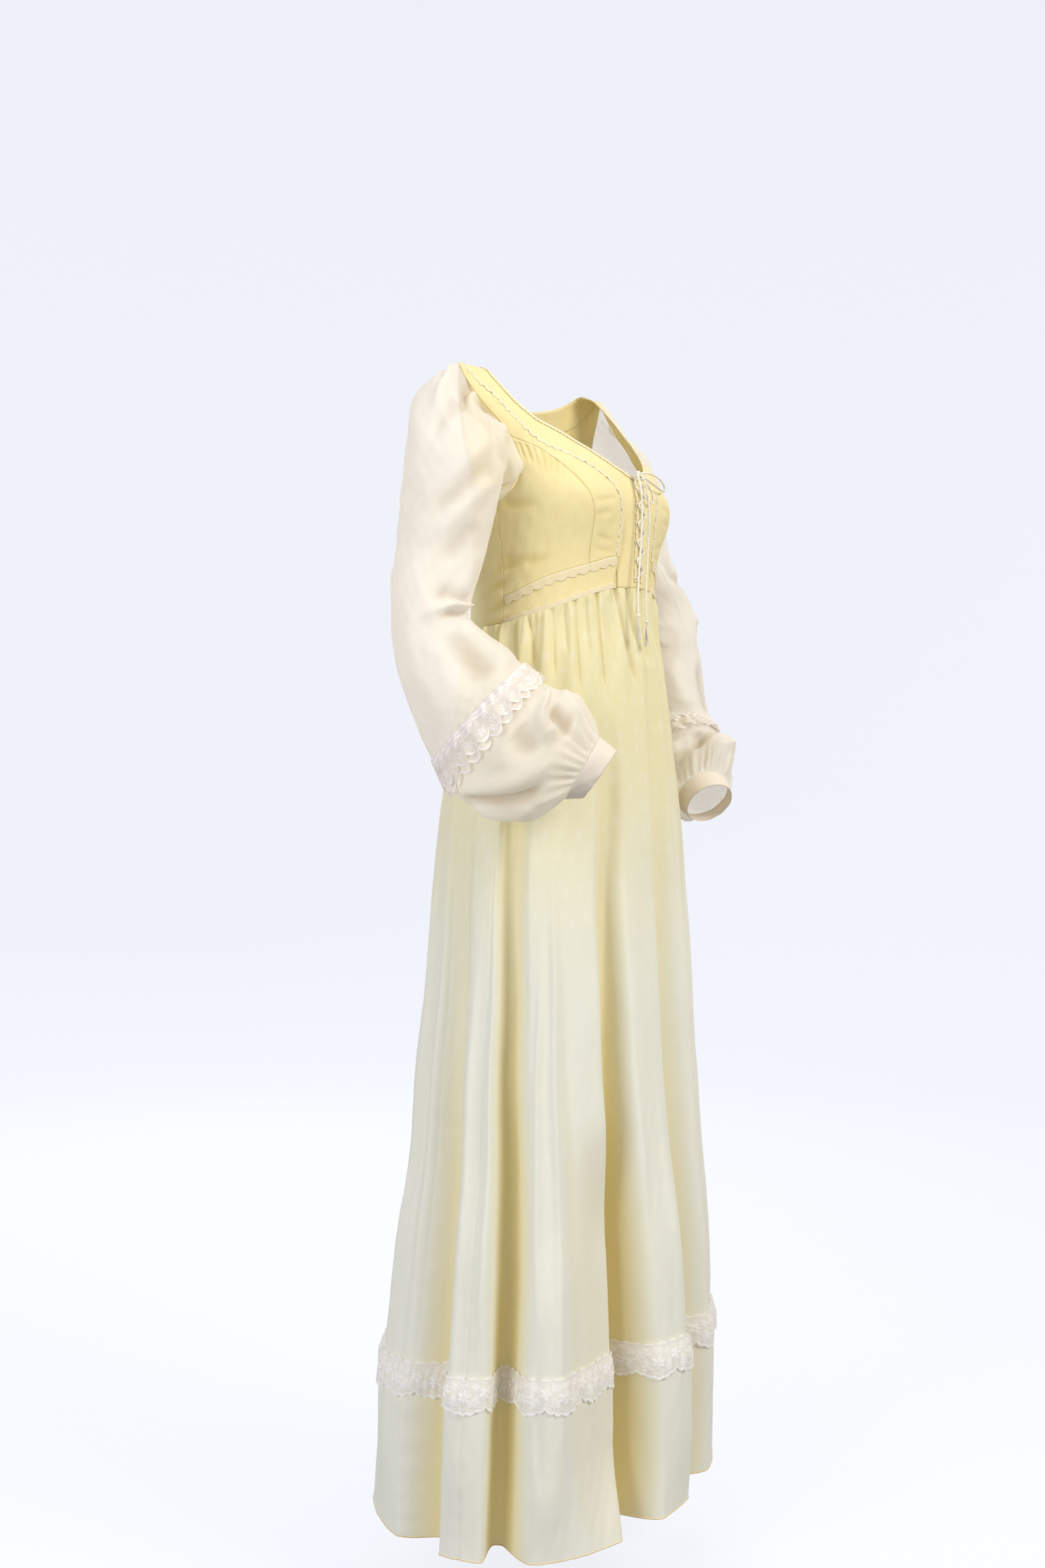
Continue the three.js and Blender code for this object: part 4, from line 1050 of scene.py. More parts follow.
@dataclass
class Bodice:
    """Bodice with its bands, cups, side panels, midriff and back."""

    rows: int = 170
    voile: bpy.types.Material = field(default_factory=BODICE_VOILE.build)

    def build(self) -> None:
        """Builds every panel of both sides and the back."""
        for side in Side:
            self.front(side)
            self.midriff(side)
        self.back_band()
        self.back()

    def panel(self, node: str, places: tuple[np.ndarray, np.ndarray], side: Side) -> None:
        """Adds a panel from its angles and heights."""
        angle, z = places
        # Painted shade: a darker colour in the troughs of the relief
        painted_shade = np.clip(-bodice_relief(angle * side.value, z) / BODICE_SHADE_DEPTH, 0, 1)
        points = bodice_points(angle * side.value, z)
        piece = grid_mesh(node + "_cloth", points, marks={"painted_shade": painted_shade})
        dress_piece(piece, self.voile, (node,))
        thicken(piece, BODICE_THICKNESS)

    def edge(self, key: str, low: float, high: float) -> tuple[np.ndarray, np.ndarray]:
        """Angles and heights of a front edge between two rows of its table."""
        place = np.linspace(low, high, self.rows)
        return FRONT.column(key + "_a", place), FRONT.column(key + "_z", place)

    def front(self, side: Side) -> None:
        """Builds the front band, the cup panel and the side panel of one side."""
        label = side.label
        band = ruled(self.edge("neck", 0, WAIST_ROW), self.edge("trim", 0, WAIST_ROW), 14)
        self.panel(f"front_band_{label}", band, side)
        cup = ruled(self.edge("trim", 0, MIDRIFF_ROW), self.edge("seam", 0, MIDRIFF_ROW), 26)
        self.panel(f"cup_panel_{label}", self.to_midriff(cup), side)
        place = np.linspace(0, len(SIDE_EDGE.rows) - 1, self.rows)
        outer = SIDE_EDGE.column("a", place), SIDE_EDGE.column("z", place)
        sides = ruled(self.edge("seam", PRINCESS_ROW, MIDRIFF_ROW), outer, 46)
        self.panel(f"side_panel_{label}", self.to_midriff(sides), side)

    @staticmethod
    def to_midriff(places: tuple[np.ndarray, np.ndarray]) -> tuple[np.ndarray, np.ndarray]:
        """Ends a panel's last rows on the midriff's top, eased over its last fifth."""
        angle, z = places
        share = smooth(np.linspace(0, 1, len(z))[:, None], 0.8, 1)
        end = midriff_top_z(angle[-1:])
        return angle, z + share * (end - z[-1:])

    def midriff(self, side: Side) -> None:
        """Builds one half of the midriff band, from the front band to the side."""
        angle = np.linspace(FRONT.rows[MIDRIFF_ROW, 2], SIDE_SEAM, 90)
        low = waist_z(angle)
        share = np.linspace(0, 1, 26)[:, None]
        top = midriff_top_z(angle)[None, :]
        z = top * (1 - share) + low[None, :] * share
        places = np.broadcast_to(angle[None, :], z.shape), z
        self.panel(f"midriff_{side.label}", places, side)

    def back_band(self) -> None:
        """Builds the band of the back neck."""
        inner, outer = back_neck_line("inner", 60), back_neck_line("outer", 60)
        self.panel("back_neck_band", ruled(inner, outer, 12), Side.LEFT)

    def back(self) -> None:
        """Builds the back panel, blended from its four edges.

        Each place is the mix across plus the mix down less the mix of the corners.
        """
        rows, columns = 110, 60
        u, v = np.linspace(0, 1, columns)[None, :, None], np.linspace(0, 1, rows)[:, None, None]
        neck = np.linspace(4, 0, columns)
        top_a, top_z = BACK_NECK.column("outer_a", neck), BACK_NECK.column("outer_z", neck)
        shoulder = np.linspace(106, SIDE_SEAM, 10)[1:]
        top = np.stack([np.concatenate([top_a, shoulder]), np.concatenate([top_z, shoulder * 0])], -1)
        arm = np.linspace(13, 8, rows)
        hole = np.stack([ARMHOLE.column("a", arm), ARMHOLE.column("z", arm)], -1)
        seam_z = np.linspace(-168, float(waist_z(SIDE_SEAM)), rows // 2)[1:]
        side = np.concatenate([hole, np.stack([seam_z * 0 + SIDE_SEAM, seam_z], -1)])
        bottom_a = np.linspace(180, SIDE_SEAM, columns)
        bottom = np.stack([bottom_a, waist_z(bottom_a)], -1)
        centre_z = np.linspace(-58, float(waist_z(180)), rows)
        centre = np.stack([centre_z * 0 + 180, centre_z], -1)
        top, side = self.resample(top, columns), self.resample(side, rows)
        across = centre[:, None] * (1 - u) + side[:, None] * u
        down = top[None] * (1 - v) + bottom[None] * v
        top_mix, bottom_mix = (line[0] * (1 - u) + line[-1] * u for line in (top, bottom))
        corners = top_mix * (1 - v) + bottom_mix * v
        half = across + down - corners
        angle = np.concatenate([360 - half[:, :0:-1, 0], half[..., 0]], axis=1)
        z = np.concatenate([half[:, :0:-1, 1], half[..., 1]], axis=1)
        self.panel("back_bodice", (angle, z), Side.LEFT)

    @staticmethod
    def resample(line: np.ndarray, count: int) -> np.ndarray:
        """Places at even steps of length along a line of angles and heights."""
        steps = np.hypot(*(np.diff(line, axis=0) * BODICE_SCALE).T)
        length = np.concatenate([[0], np.cumsum(steps)])
        wanted = np.linspace(0, length[-1], count)
        return np.stack([np.interp(wanted, length, line[:, k]) for k in (0, 1)], -1)


# Skirt

SKIRT_SCALE = (3.5, 1.0)
# Metres round and long of the flat cloth
SKIRT_ROUND, SKIRT_LONG = 2.1, 0.88
FLOUNCE_ROUND, FLOUNCE_LONG = 2.2, 0.2
GALLOON_LONG = 0.045
GALLOON_REPEAT = 44.0
# Millimetres of valley that have the deepest painted shade
SKIRT_SHADE_DEPTH = 40

# Smaller folds of the skirt: angle and height at the top, at the low end, half
# width, and height of the ridge, below nought for a trough
SKIRT_FOLDS = [
    (-30, -880, -25, -1400, 40, -22), (-50, -1000, -50, -1400, 22, 8),
    (-78, -900, -80, -1390, 26, 6),
    (-4, -900, 0, -1390, 24, 5), (-118, -900, -117, -1390, 30, 6),
    (-52, -540, -45, -1330, 7, 4.5), (-56, -600, -57, -1330, 6, 3.0),
    (-75, -600, -74, -1200, 8, 4.0), (-86, -650, -84, -1345, 9, 4.0),
    (-15.5, -800, -13, -1345, 9, 3.5), (-4, -850, 1, -1230, 8, 2.5),
    (-48, -700, -38, -1330, 8, -2.5), (-61, -900, -52, -1340, 5, -2.0),
    (-92, -700, -91, -1200, 6, -2.5), (-107, -613, -108, -1150, 6, 2.5),
    (-112, -700, -113, -1300, 8, -2.0), (-120, -500, -122, -1330, 10, 5.0),
    (-135, -450, -136, -1340, 9, -6.0), (-144, -600, -143, -1340, 8, 4.0),
    (-168, -500, -170, -1340, 10, 5.0), (-178, -620, -179, -1330, 9, -5.0),
    (150, -500, 148, -1330, 10, 5.0), (140, -640, 140, -1330, 7, -3.0),
    (113, -520, 112, -1330, 9, 5.0), (104, -700, 105, -1300, 7, -3.0),
    (80, -520, 78, -1330, 9, 5.0), (72, -700, 72, -1250, 6, -3.0),
    (46, -450, 46, -1330, 10, 5.5), (34, -620, 32, -1320, 8, -4.0),
    (22, -480, 21, -1330, 8, 4.5), (16, -700, 16, -1250, 6, -2.5),
    (-80, -318, -74, -400, 5, -3.5), (-71.5, -308, -65, -370, 4.5, -3.0),
    (-58, -297, -55, -380, 5, -3.5), (-50, -290, -48, -350, 4, -2.2),
    (-44.5, -286, -41, -400, 5, -4.0), (-36, -280, -34, -345, 4, 2.4),
    (-31, -276, -27, -400, 5, -4.5), (-18.5, -269, -5, -385, 5, -4.5),
    (-24, -272, -20, -350, 4, 2.4), (-10, -266, 0, -340, 4, -3.0),
    (4, -265, 9, -360, 5, -4.0), (14, -266, 20, -350, 4.5, -3.0),
    (26, -270, 29, -360, 5, -3.5), (38, -278, 41, -360, 5, -3.5),
    (52, -288, 54, -370, 5, -3.5), (66, -298, 66, -380, 5, -3.5),
    (82, -306, 82, -380, 5, -3.5), (-92, -312, -90, -400, 5, -3.5),
    (-103, -314, -101, -380, 5, 3.0), (-116, -316, -115, -410, 6, -4.0),
    (-130, -317, -129, -400, 6, -4.0), (-146, -317, -146, -420, 6, -4.0),
    (-162, -318, -160, -410, 6, -4.0), (176, -318, 176, -420, 6, -4.0),
    (158, -317, 157, -400, 6, -4.0), (140, -317, 141, -410, 6, -4.0),
    (122, -316, 121, -400, 6, -4.0), (104, -314, 105, -400, 6, -4.0),
]


def skirt_relief(angle: np.ndarray, z: np.ndarray) -> np.ndarray:
    """Relief of the skirt: smaller folds, fine gathers, puckered seams and crumples.

    The fine gathers are two cosines of the angle whose beat makes them uneven, and
    they fade over the first 70 mm below the waist.
    """
    folds = [
        Fold(((a, top), (b, low)), width, height, 0.0 if top > -330 else 0.3, 0.25)
        for a, top, b, low, width, height in SKIRT_FOLDS
    ]
    relief = FOLD_STRENGTH * fold_relief(angle, z, folds, SKIRT_SCALE)
    turn = np.radians(angle)
    drop = waist_z(angle) - z
    fine = np.cos(turn * 83 + 2 * np.sin(turn * 5)) * (0.6 + 0.4 * np.cos(turn * 11))
    relief += 1.1 * fine * np.exp(-((drop / 42) ** 2)) * smooth(drop, 0, 6)
    for side in (-1, 1):
        for seam in GORE_ANGLES:
            across = half_turn(angle - side * seam) * SKIRT_SCALE[0]
            pucker = np.sin(z / 4.4 + 2 * np.sin(z / 31)) * np.exp(-((across / 9) ** 2))
            strength = 0.75 if seam == GORE_ANGLES[1] else 0.25
            relief += strength * pucker * smooth(-z, 420, 700)
            relief -= 0.8 * np.exp(-((across / 1.6) ** 2))
    relief += 0.5 * crumple(angle * SKIRT_SCALE[0], z, 30, 160, 5) * smooth(drop, 0, 120)
    relief += 0.35 * crumple(angle * SKIRT_SCALE[0], z, 11, 40, 6) * smooth(-z, 500, 900)
    return relief


def skirt_painted_shade(angle: np.ndarray, z: np.ndarray) -> np.ndarray:
    """Share of painted shade: how far a place lies in the folds, from 0 on a ridge to 1 in a deep valley.
    """
    depth, _ = valley(angle, z)
    return np.clip(depth / SKIRT_SHADE_DEPTH - 0.04 * np.clip(skirt_relief(angle, z), -5, 5), 0, 1)


def skirt_points(angle: np.ndarray, z: np.ndarray, out: np.ndarray | float = 0.0) -> np.ndarray:
    """Skirt surface with its relief, moved out from the middle."""
    return skirt(angle, z, out + skirt_relief(angle, z))


@dataclass
class Skirt:
    """Skirt panels, flounce, hem thread and the lace over the flounce's seam."""

    rows: int = 100
    flounce_rows: int = 34
    lace_columns: int = 1620
    lace_rows: int = 32
    voile: bpy.types.Material = field(default_factory=SKIRT_VOILE.build)

    def build(self) -> None:
        """Builds the panels, the flounce, the hem and the lace."""
        angle = np.arange(SKIRT_COLUMNS) * 360 / SKIRT_COLUMNS
        hem = HEM.where("a", half_turn(angle))
        self.panels(angle, hem)
        self.flounce(angle, hem)
        self.lace()

    def cut(
        self,
        node: str,
        points: np.ndarray,
        painted_shade: np.ndarray,
        span: tuple[float, float],
        across: np.ndarray,
        along: np.ndarray,
    ) -> None:
        """Adds the panel of a ring of cloth between two angles."""
        step = 360 / SKIRT_COLUMNS
        columns = np.arange(round(span[0] / step), round(span[1] / step) + 1)
        picked = columns % SKIRT_COLUMNS
        length = across[picked] + (columns - picked) / SKIRT_COLUMNS * across[-1]
        # Painted shade, carried to the material as an attribute
        marks = {"painted_shade": painted_shade[:, picked]}
        piece = grid_mesh(node + "_cloth", points[:, picked], marks=marks, uv=(length, along))
        dress_piece(piece, self.voile, (node,))

    def panels(self, angle: np.ndarray, hem: dict[str, np.ndarray]) -> None:
        """Builds the front, the two gores and the back, from waist to flounce seam."""
        share = np.linspace(0, 1, self.rows)[:, None] ** 1.2
        top = waist_z(angle)[None, :]
        z = top + (hem["seam"][None, :] - top) * share
        wide = np.broadcast_to(angle, z.shape)
        # The share of painted shade in the valleys goes with the points
        points, painted_shade = skirt_points(wide, z), skirt_painted_shade(wide, z)
        across = np.linspace(0, SKIRT_ROUND, SKIRT_COLUMNS + 1)
        along = share[:, 0] * SKIRT_LONG
        near, far = GORE_ANGLES
        self.cut("skirt_front", points, painted_shade, (-near, near), across, along)
        self.cut("skirt_gore_left", points, painted_shade, (near, far), across, along)
        self.cut("skirt_back", points, painted_shade, (far, 360 - far), across, along)
        self.cut("skirt_gore_right", points, painted_shade, (-far, -near), across, along)

    def flounce(self, angle: np.ndarray, hem: dict[str, np.ndarray]) -> None:
        """Builds the flounce's two halves and the overlocked thread on the hem."""
        share = np.linspace(0, 1, self.flounce_rows)[:, None]
        drop = (hem["seam"] - hem["hem"])[None, :] * share
        z = hem["seam"][None, :] - drop
        wide = np.broadcast_to(angle, z.shape)
        ruffle = 0.9 * np.cos(np.radians(wide) * 71) * np.exp(-((drop / 60) ** 2)) * smooth(drop, 0, 12)
        points = skirt_points(wide, z, FLOUNCE_STEP * smooth(drop, 0, 30) + ruffle)
        # Painted shade in the valleys
        painted_shade = skirt_painted_shade(wide, z)
        across = np.linspace(0, FLOUNCE_ROUND, SKIRT_COLUMNS + 1)
        along = SKIRT_LONG + share[:, 0] * FLOUNCE_LONG
        self.cut("flounce_front", points, painted_shade, (-90, 90), across, along)
        self.cut("flounce_back", points, painted_shade, (90, 270), across, along)
        edge = np.concatenate([points[-1], points[-1, :2]])
        thread = tube_mesh("hem_thread", edge, 0.9, 6)
        dress_piece(thread, HEM_THREAD.build())

    def lace(self) -> None:
        """Builds the lace band: floral motifs on net, scalloped along its lower edge."""
        angle = np.arange(self.lace_columns) * 360 / self.lace_columns
        share = np.linspace(0, 1, self.lace_rows)[:, None]
        seam = HEM.where("a", half_turn(angle))["seam"]
        middle = skirt(angle, seam, FLOUNCE_STEP)
        steps = np.linalg.norm(np.diff(np.concatenate([middle, middle[:1]]), axis=0), axis=-1)
        repeats = round(steps.sum() / GALLOON_REPEAT)
        across = np.concatenate([[0], np.cumsum(steps)[:-1]]) * repeats * GALLOON_REPEAT / steps.sum()
        low = galloon_edge(across)
        top = 6 + 1.3 * np.cos(across * 2 * math.pi / 14.6)
        drop = -top + share * (low + top)
        wide = np.broadcast_to(across, drop.shape)
        motif = galloon_motif(wide, drop + 6, low + 6)
        z = seam - drop
        points = skirt_points(
            np.broadcast_to(angle, z.shape), z, FLOUNCE_STEP * smooth(drop + 8, 0, 26))
        wave = np.sin(wide * 2 * math.pi / 27 + 1.3 * np.sin(wide / 37)) * smooth(drop, 0, 40)
        ruffle = 0.6 * np.sin(wide * 2 * math.pi / 8.8 + 2 * np.sin(wide / 23))
        lift = 2.2 + 0.6 * motif + 1.3 * wave + ruffle * smooth(drop, -6, 20)
        points = points + grid_normals(points, True) * lift[..., None]
        piece = grid_mesh(
            "skirt_lace_band", points, closed=True, marks={"motif": motif},
            uv=(across * MM, share[:, 0] * GALLOON_LONG))
        dress_piece(piece, GALLOON.build(), ("skirt_lace",))


def galloon_edge(across: np.ndarray) -> np.ndarray:
    """Lower edge of the skirt lace below the seam: big scallops made of small ones."""
    big = np.abs(np.cos(across * math.pi / GALLOON_REPEAT))
    small = np.abs(np.cos(across * math.pi / (GALLOON_REPEAT / 5)))
    return 26 + 8 * big**0.8 + 2.6 * small


def petals(x: np.ndarray, y: np.ndarray, reach: float, count: int, turn: float) -> np.ndarray:
    """Soft mask of a flower: inside a radius that swells once for each petal."""
    angle = np.arctan2(y, x) + turn
    radius = reach * (0.68 + 0.32 * np.cos(count * angle))
    distance = np.hypot(x, y)
    body = smooth(radius - distance, -0.3, 0.9)
    eye = smooth(distance, reach * 0.14, reach * 0.26)
    return body * (0.35 + 0.65 * eye)


def galloon_motif(across: np.ndarray, down: np.ndarray, edge: np.ndarray) -> np.ndarray:
    """Motifs of the lace: flowers, leaves and corded scallops, by place in a repeat.

    Args:
        across: Millimetres along the band.
        down: Millimetres from the band's top.
        edge: Distance from its top to its lower edge.

    Returns:
        1 on solid thread, 0 on net.
    """
    x = (across + GALLOON_REPEAT / 2) % GALLOON_REPEAT - GALLOON_REPEAT / 2
    other = across % GALLOON_REPEAT - GALLOON_REPEAT / 2
    mask = petals(x, down - 22, 8.5, 6, 0.4)
    mask = np.maximum(mask, petals(other, down - 16, 7.5, 5, 1.2))
    mask = np.maximum(mask, petals(x, down - 9, 5.0, 5, 0.8))
    for side in (-1, 1):
        mask = np.maximum(mask, petals(x - side * 11, down - 11, 5.2, 5, 0.3 * side))
        mask = np.maximum(mask, petals(x - side * 12, down - 29, 5.0, 5, 0.6 * side))
        mask = np.maximum(mask, petals(other - side * 9, down - 27, 5.0, 5, 0.9))
        leaf = ((x - side * 10) * 0.8 + side * (down - 26) * 0.5) / 3.0
        length = (side * (x - side * 10) * 0.5 - (down - 26) * 0.8) / 7.5
        mask = np.maximum(mask, smooth(1 - leaf**2 - length**2, 0, 0.4) * 0.9)
    rim = edge - down
    mask = np.maximum(mask, smooth(2.2 - np.abs(rim - 1.6), 0, 1.2))
    mask = np.maximum(mask, 0.8 * smooth(0.9 - np.abs(rim - 6.2), 0, 0.7))
    mask = np.maximum(mask, 0.85 * smooth(1.4 - np.abs(down - 1.4), 0, 0.9))
    return np.clip(mask, 0, 1)


# Sleeves

SLEEVE_SCALE = (0.62, 50.0)
CREASE_STRENGTH = 1.9
CAP_FULLNESS, CAP_TURN = 21, 200
# Millimetres of trough that have the deepest painted shade
SLEEVE_SHADE_DEPTH = 7
# First and last ring of each layer of the frill, and its metres along
FRILL_LAYERS = ((9.12, 9.62), (9.2, 9.75))
FRILL_LONG = 0.024

# Creases of the right sleeve by turn and ring
RIGHT_FOLDS = [
    Fold(((333, 0.8), (308, 2.85), (288, 3.35), (268, 3.75), (244, 4.15)), 8, 4.0, 0.1, 0.3),
    Fold(((314, 0.1), (318, 2.25), (296, 2.8), (279, 3.15)), 6, -4.0, 0.0, 0.4),
    Fold(((303, 0.1), (308, 2.2), (298, 2.5), (288, 2.9)), 4, 3.0, 0.0, 0.5),
    Fold(((292, 0.1), (300, 2.0), (290, 2.4)), 5, -4.0, 0.0, 0.5),
    Fold(((284, 0.1), (286, 1.8), (278, 2.4)), 4, 2.6, 0.0, 0.5),
    Fold(((275, 0.1), (278, 1.6), (262, 2.2), (243, 2.6)), 5, 3.4, 0.0, 0.4),
    Fold(((268, 0.1), (262, 1.6), (250, 2.2)), 4.5, -3.0, 0.0, 0.5),
    Fold(((290, 1.7), (273, 2.3), (256, 2.6), (250, 3.0)), 7, -3.0, 0.2, 0.4),
    Fold(((327, 0.2), (330, 1.5), (334, 2.6)), 5, -3.2, 0.0, 0.5),
    Fold(((340, 0.2), (344, 1.6), (350, 2.8)), 6, 3.0, 0.0, 0.5),
    Fold(((352, 0.2), (356, 1.4), (360, 2.4)), 5, -2.6, 0.0, 0.5),
    Fold(((327, 3.35), (309, 3.85), (286, 4.3), (270, 4.7), (250, 5.2)), 9, 3.2),
    Fold(((318, 3.0), (290, 3.7), (266, 4.25), (248, 4.6)), 9, -3.2),
    Fold(((318, 4.4), (296, 4.9), (272, 5.4)), 10, -2.4),
    Fold(((333, 5.0), (322, 5.6), (300, 6.0)), 8, 2.0),
    Fold(((350, 6.15), (333, 6.22), (304, 6.15), (280, 6.3), (255, 6.6)), 7, 5.0, 0.1, 0.4),
    Fold(((352, 6.55), (326, 6.6), (300, 6.45), (278, 6.6)), 5, -4.5, 0.1, 0.4),
    Fold(((350, 5.9), (322, 5.95), (295, 5.85), (268, 6.15)), 7, -3.2, 0.1, 0.4),
    Fold(((340, 6.9), (322, 7.5), (321, 8.4), (328, 8.9)), 8, 3.0),
    Fold(((302, 7.0), (297, 7.6), (302, 8.6)), 12, -3.5),
    Fold(((236, 6.4), (239, 7.3), (240, 7.9), (243, 8.85)), 9, 2.6),
    Fold(((268, 6.9), (262, 7.8), (268, 8.8)), 9, 2.0),
    Fold(((210, 9.6), (224, 10.0), (236, 10.35), (252, 10.8), (268, 11.3)), 7, 5.5, 0.15, 0.4),
    Fold(((200, 9.9), (215, 10.35), (228, 10.75), (243, 11.25)), 6, -5.5, 0.15, 0.35),
    Fold(((190, 10.1), (200, 10.7), (218, 11.3)), 7, 4.0),
    Fold(((338, 9.8), (322, 10.1), (303, 10.25), (291, 10.65), (297, 11.15)), 6, 5.0, 0.15, 0.3),
    Fold(((325, 10.5), (311, 10.6), (302, 10.95), (306, 11.35)), 6, -5.0, 0.2, 0.3),
    Fold(((350, 10.3), (336, 10.75), (322, 11.2), (318, 11.6)), 6, 4.0),
    Fold(((286, 9.9), (276, 10.3), (270, 10.8)), 8, -3.0),
    Fold(((262, 9.85), (256, 10.3), (262, 10.9)), 8, 2.5),
    Fold(((60, 0.2), (70, 1.5), (84, 3.0)), 8, -3.0, 0.0, 0.5),
    Fold(((30, 0.2), (24, 1.6), (20, 3.2)), 8, 3.0, 0.0, 0.5),
    Fold(((140, 0.4), (150, 2.0), (168, 3.6)), 9, -3.5, 0.1, 0.5),
    Fold(((90, 3.4), (70, 4.3), (50, 5.2)), 10, -3.0),
    Fold(((150, 4.0), (120, 4.9), (95, 5.7)), 10, 3.0),
    Fold(((10, 6.1), (40, 6.2), (80, 6.35)), 8, -4.0),
    Fold(((14, 6.5), (46, 6.7), (90, 6.8)), 8, 3.5),
    Fold(((160, 7.0), (140, 8.0), (150, 8.9)), 12, -3.0),
    Fold(((60, 7.2), (66, 8.1), (60, 8.9)), 12, 3.0),
    Fold(((40, 9.9), (60, 10.6), (84, 11.3)), 8, -5.0),
    Fold(((100, 9.9), (112, 10.6), (130, 11.3)), 8, 5.0),
    Fold(((150, 9.9), (160, 10.6), (170, 11.3)), 8, -4.0),
]

# Creases of the left sleeve, which shows its inner side past the bodice
LEFT_FOLDS = [
    Fold(((60, 0.2), (50, 1.6), (36, 3.0)), 7, -3.5, 0.0, 0.5),
    Fold(((84, 0.2), (72, 1.8), (58, 3.4)), 7, 3.0, 0.0, 0.5),
    Fold(((300, 0.2), (296, 1.6), (284, 2.8)), 7, -3.5, 0.0, 0.5),
    Fold(((270, 0.2), (268, 1.6), (258, 2.8)), 6, 3.0, 0.0, 0.5),
    Fold(((320, 0.2), (322, 1.8), (316, 3.2)), 6, 3.0, 0.0, 0.5),
    Fold(((340, 3.0), (0, 4.2), (24, 5.4)), 8, 3.5),
    Fold(((20, 3.2), (40, 4.4), (62, 5.6)), 9, -3.5),
    Fold(((320, 3.8), (340, 5.0), (4, 6.2)), 8, -3.0),
    Fold(((60, 4.2), (80, 5.2), (104, 6.0)), 9, 3.0),
    Fold(((350, 6.0), (20, 6.2), (52, 6.0)), 7, 4.0),
    Fold(((350, 6.5), (20, 6.7), (52, 6.5)), 7, -4.0),
    Fold(((30, 7.0), (16, 7.9), (12, 8.8)), 9, 3.5),
    Fold(((60, 7.0), (50, 7.9), (44, 8.8)), 9, -3.5),
    Fold(((330, 7.0), (322, 7.9), (328, 8.8)), 9, -3.0),
    Fold(((250, 7.0), (240, 7.9), (246, 8.8)), 10, 3.0),
    Fold(((200, 4.2), (190, 5.4), (176, 6.6)), 10, -3.0),
    Fold(((10, 9.9), (22, 10.5), (40, 11.2)), 7, -4.5),
    Fold(((50, 9.9), (62, 10.6), (80, 11.3)), 7, 4.5),
    Fold(((330, 9.9), (322, 10.6), (330, 11.3)), 7, 4.5),
    Fold(((290, 9.9), (280, 10.6), (270, 11.2)), 8, -4.5),
    Fold(((200, 9.9), (216, 10.5), (240, 11.0)), 8, 5.0),
    Fold(((150, 9.9), (160, 10.6), (176, 11.3)), 8, -4.5),
]


def sleeve_relief(folds: list[Fold], ring: np.ndarray, turn: np.ndarray) -> np.ndarray:
    """Relief of a sleeve: its creases, cap and cuff gathers, and soft crumples.

    Args:
        folds: Its creases by turn in degrees and ring.
        ring: Ring numbers with a fraction.
        turn: Radians round the arm.

    Returns:
        The relief in millimetres.
    """
    degrees = np.degrees(turn)
    around, along = degrees * SLEEVE_SCALE[0], ring * SLEEVE_SCALE[1]
    relief = CREASE_STRENGTH * fold_relief(degrees, ring, folds, SLEEVE_SCALE)
    cap = smooth(ring, 0.0, 0.3) * (1 - smooth(ring, 0.7, 2.0))
    over = smooth(np.maximum(0, -np.sin(turn)), 0.1, 0.7)
    relief += 1.3 * cap * over * np.cos(turn * 31 + np.sin(turn * 3))
    full = smooth(np.cos(turn - np.radians(CAP_TURN)), 0.1, 0.95)
    relief += CAP_FULLNESS * smooth(ring, 0.05, 1.0) * (1 - smooth(ring, 1.4, 3.2)) * full
    cuff = smooth(ring, 10.9, 11.7) * (1 - smooth(ring, 11.85, 12))
    relief += 1.5 * cuff * np.cos(turn * 27 + 1.5 * np.sin(turn * 4))
    seam = np.exp(-(((ring - LACE_RING) / 0.12) ** 2))
    relief += 0.8 * seam * np.cos(turn * 34)
    loose = smooth(ring, 0.2, 1.2) * (1 - smooth(ring, 11.4, 12))
    relief += 0.7 * loose * crumple(around, along, 22, 42, 9)
    relief += 0.35 * loose * crumple(around, along, 9, 16, 10)
    return relief


def sleeve_points(
    rings: Table, folds: list[Fold], ring: np.ndarray, turn: np.ndarray, lift: np.ndarray | float = 0.0
) -> np.ndarray:
    """Sleeve surface on the right arm with its relief.

    Args:
        rings: The sleeve's table of rings.
        folds: Its creases by turn in degrees and ring.
        ring: Ring numbers with a fraction.
        turn: Radians round the arm.
        lift: Distance moved out from the ring's middle.

    Returns:
        The points.
    """
    points, outward = sleeve(rings, ring, turn)
    return points + outward * (sleeve_relief(folds, ring, turn) + lift)[..., None]


def rounded(points: np.ndarray, passes: int, weight: np.ndarray) -> np.ndarray:
    """Grid with its rows eased towards the mean of their neighbours, its edges kept.

    Args:
        points: Rows by columns by three.
        passes: How often it is eased.
        weight: How far each row is eased, from 0 to 1.

    Returns:
        The eased grid.
    """
    points = points.copy()
    for _ in range(passes):
        mean = (points[:-2] + points[2:]) / 2
        points[1:-1] += weight[1:-1, None, None] * (mean - points[1:-1])
    return points


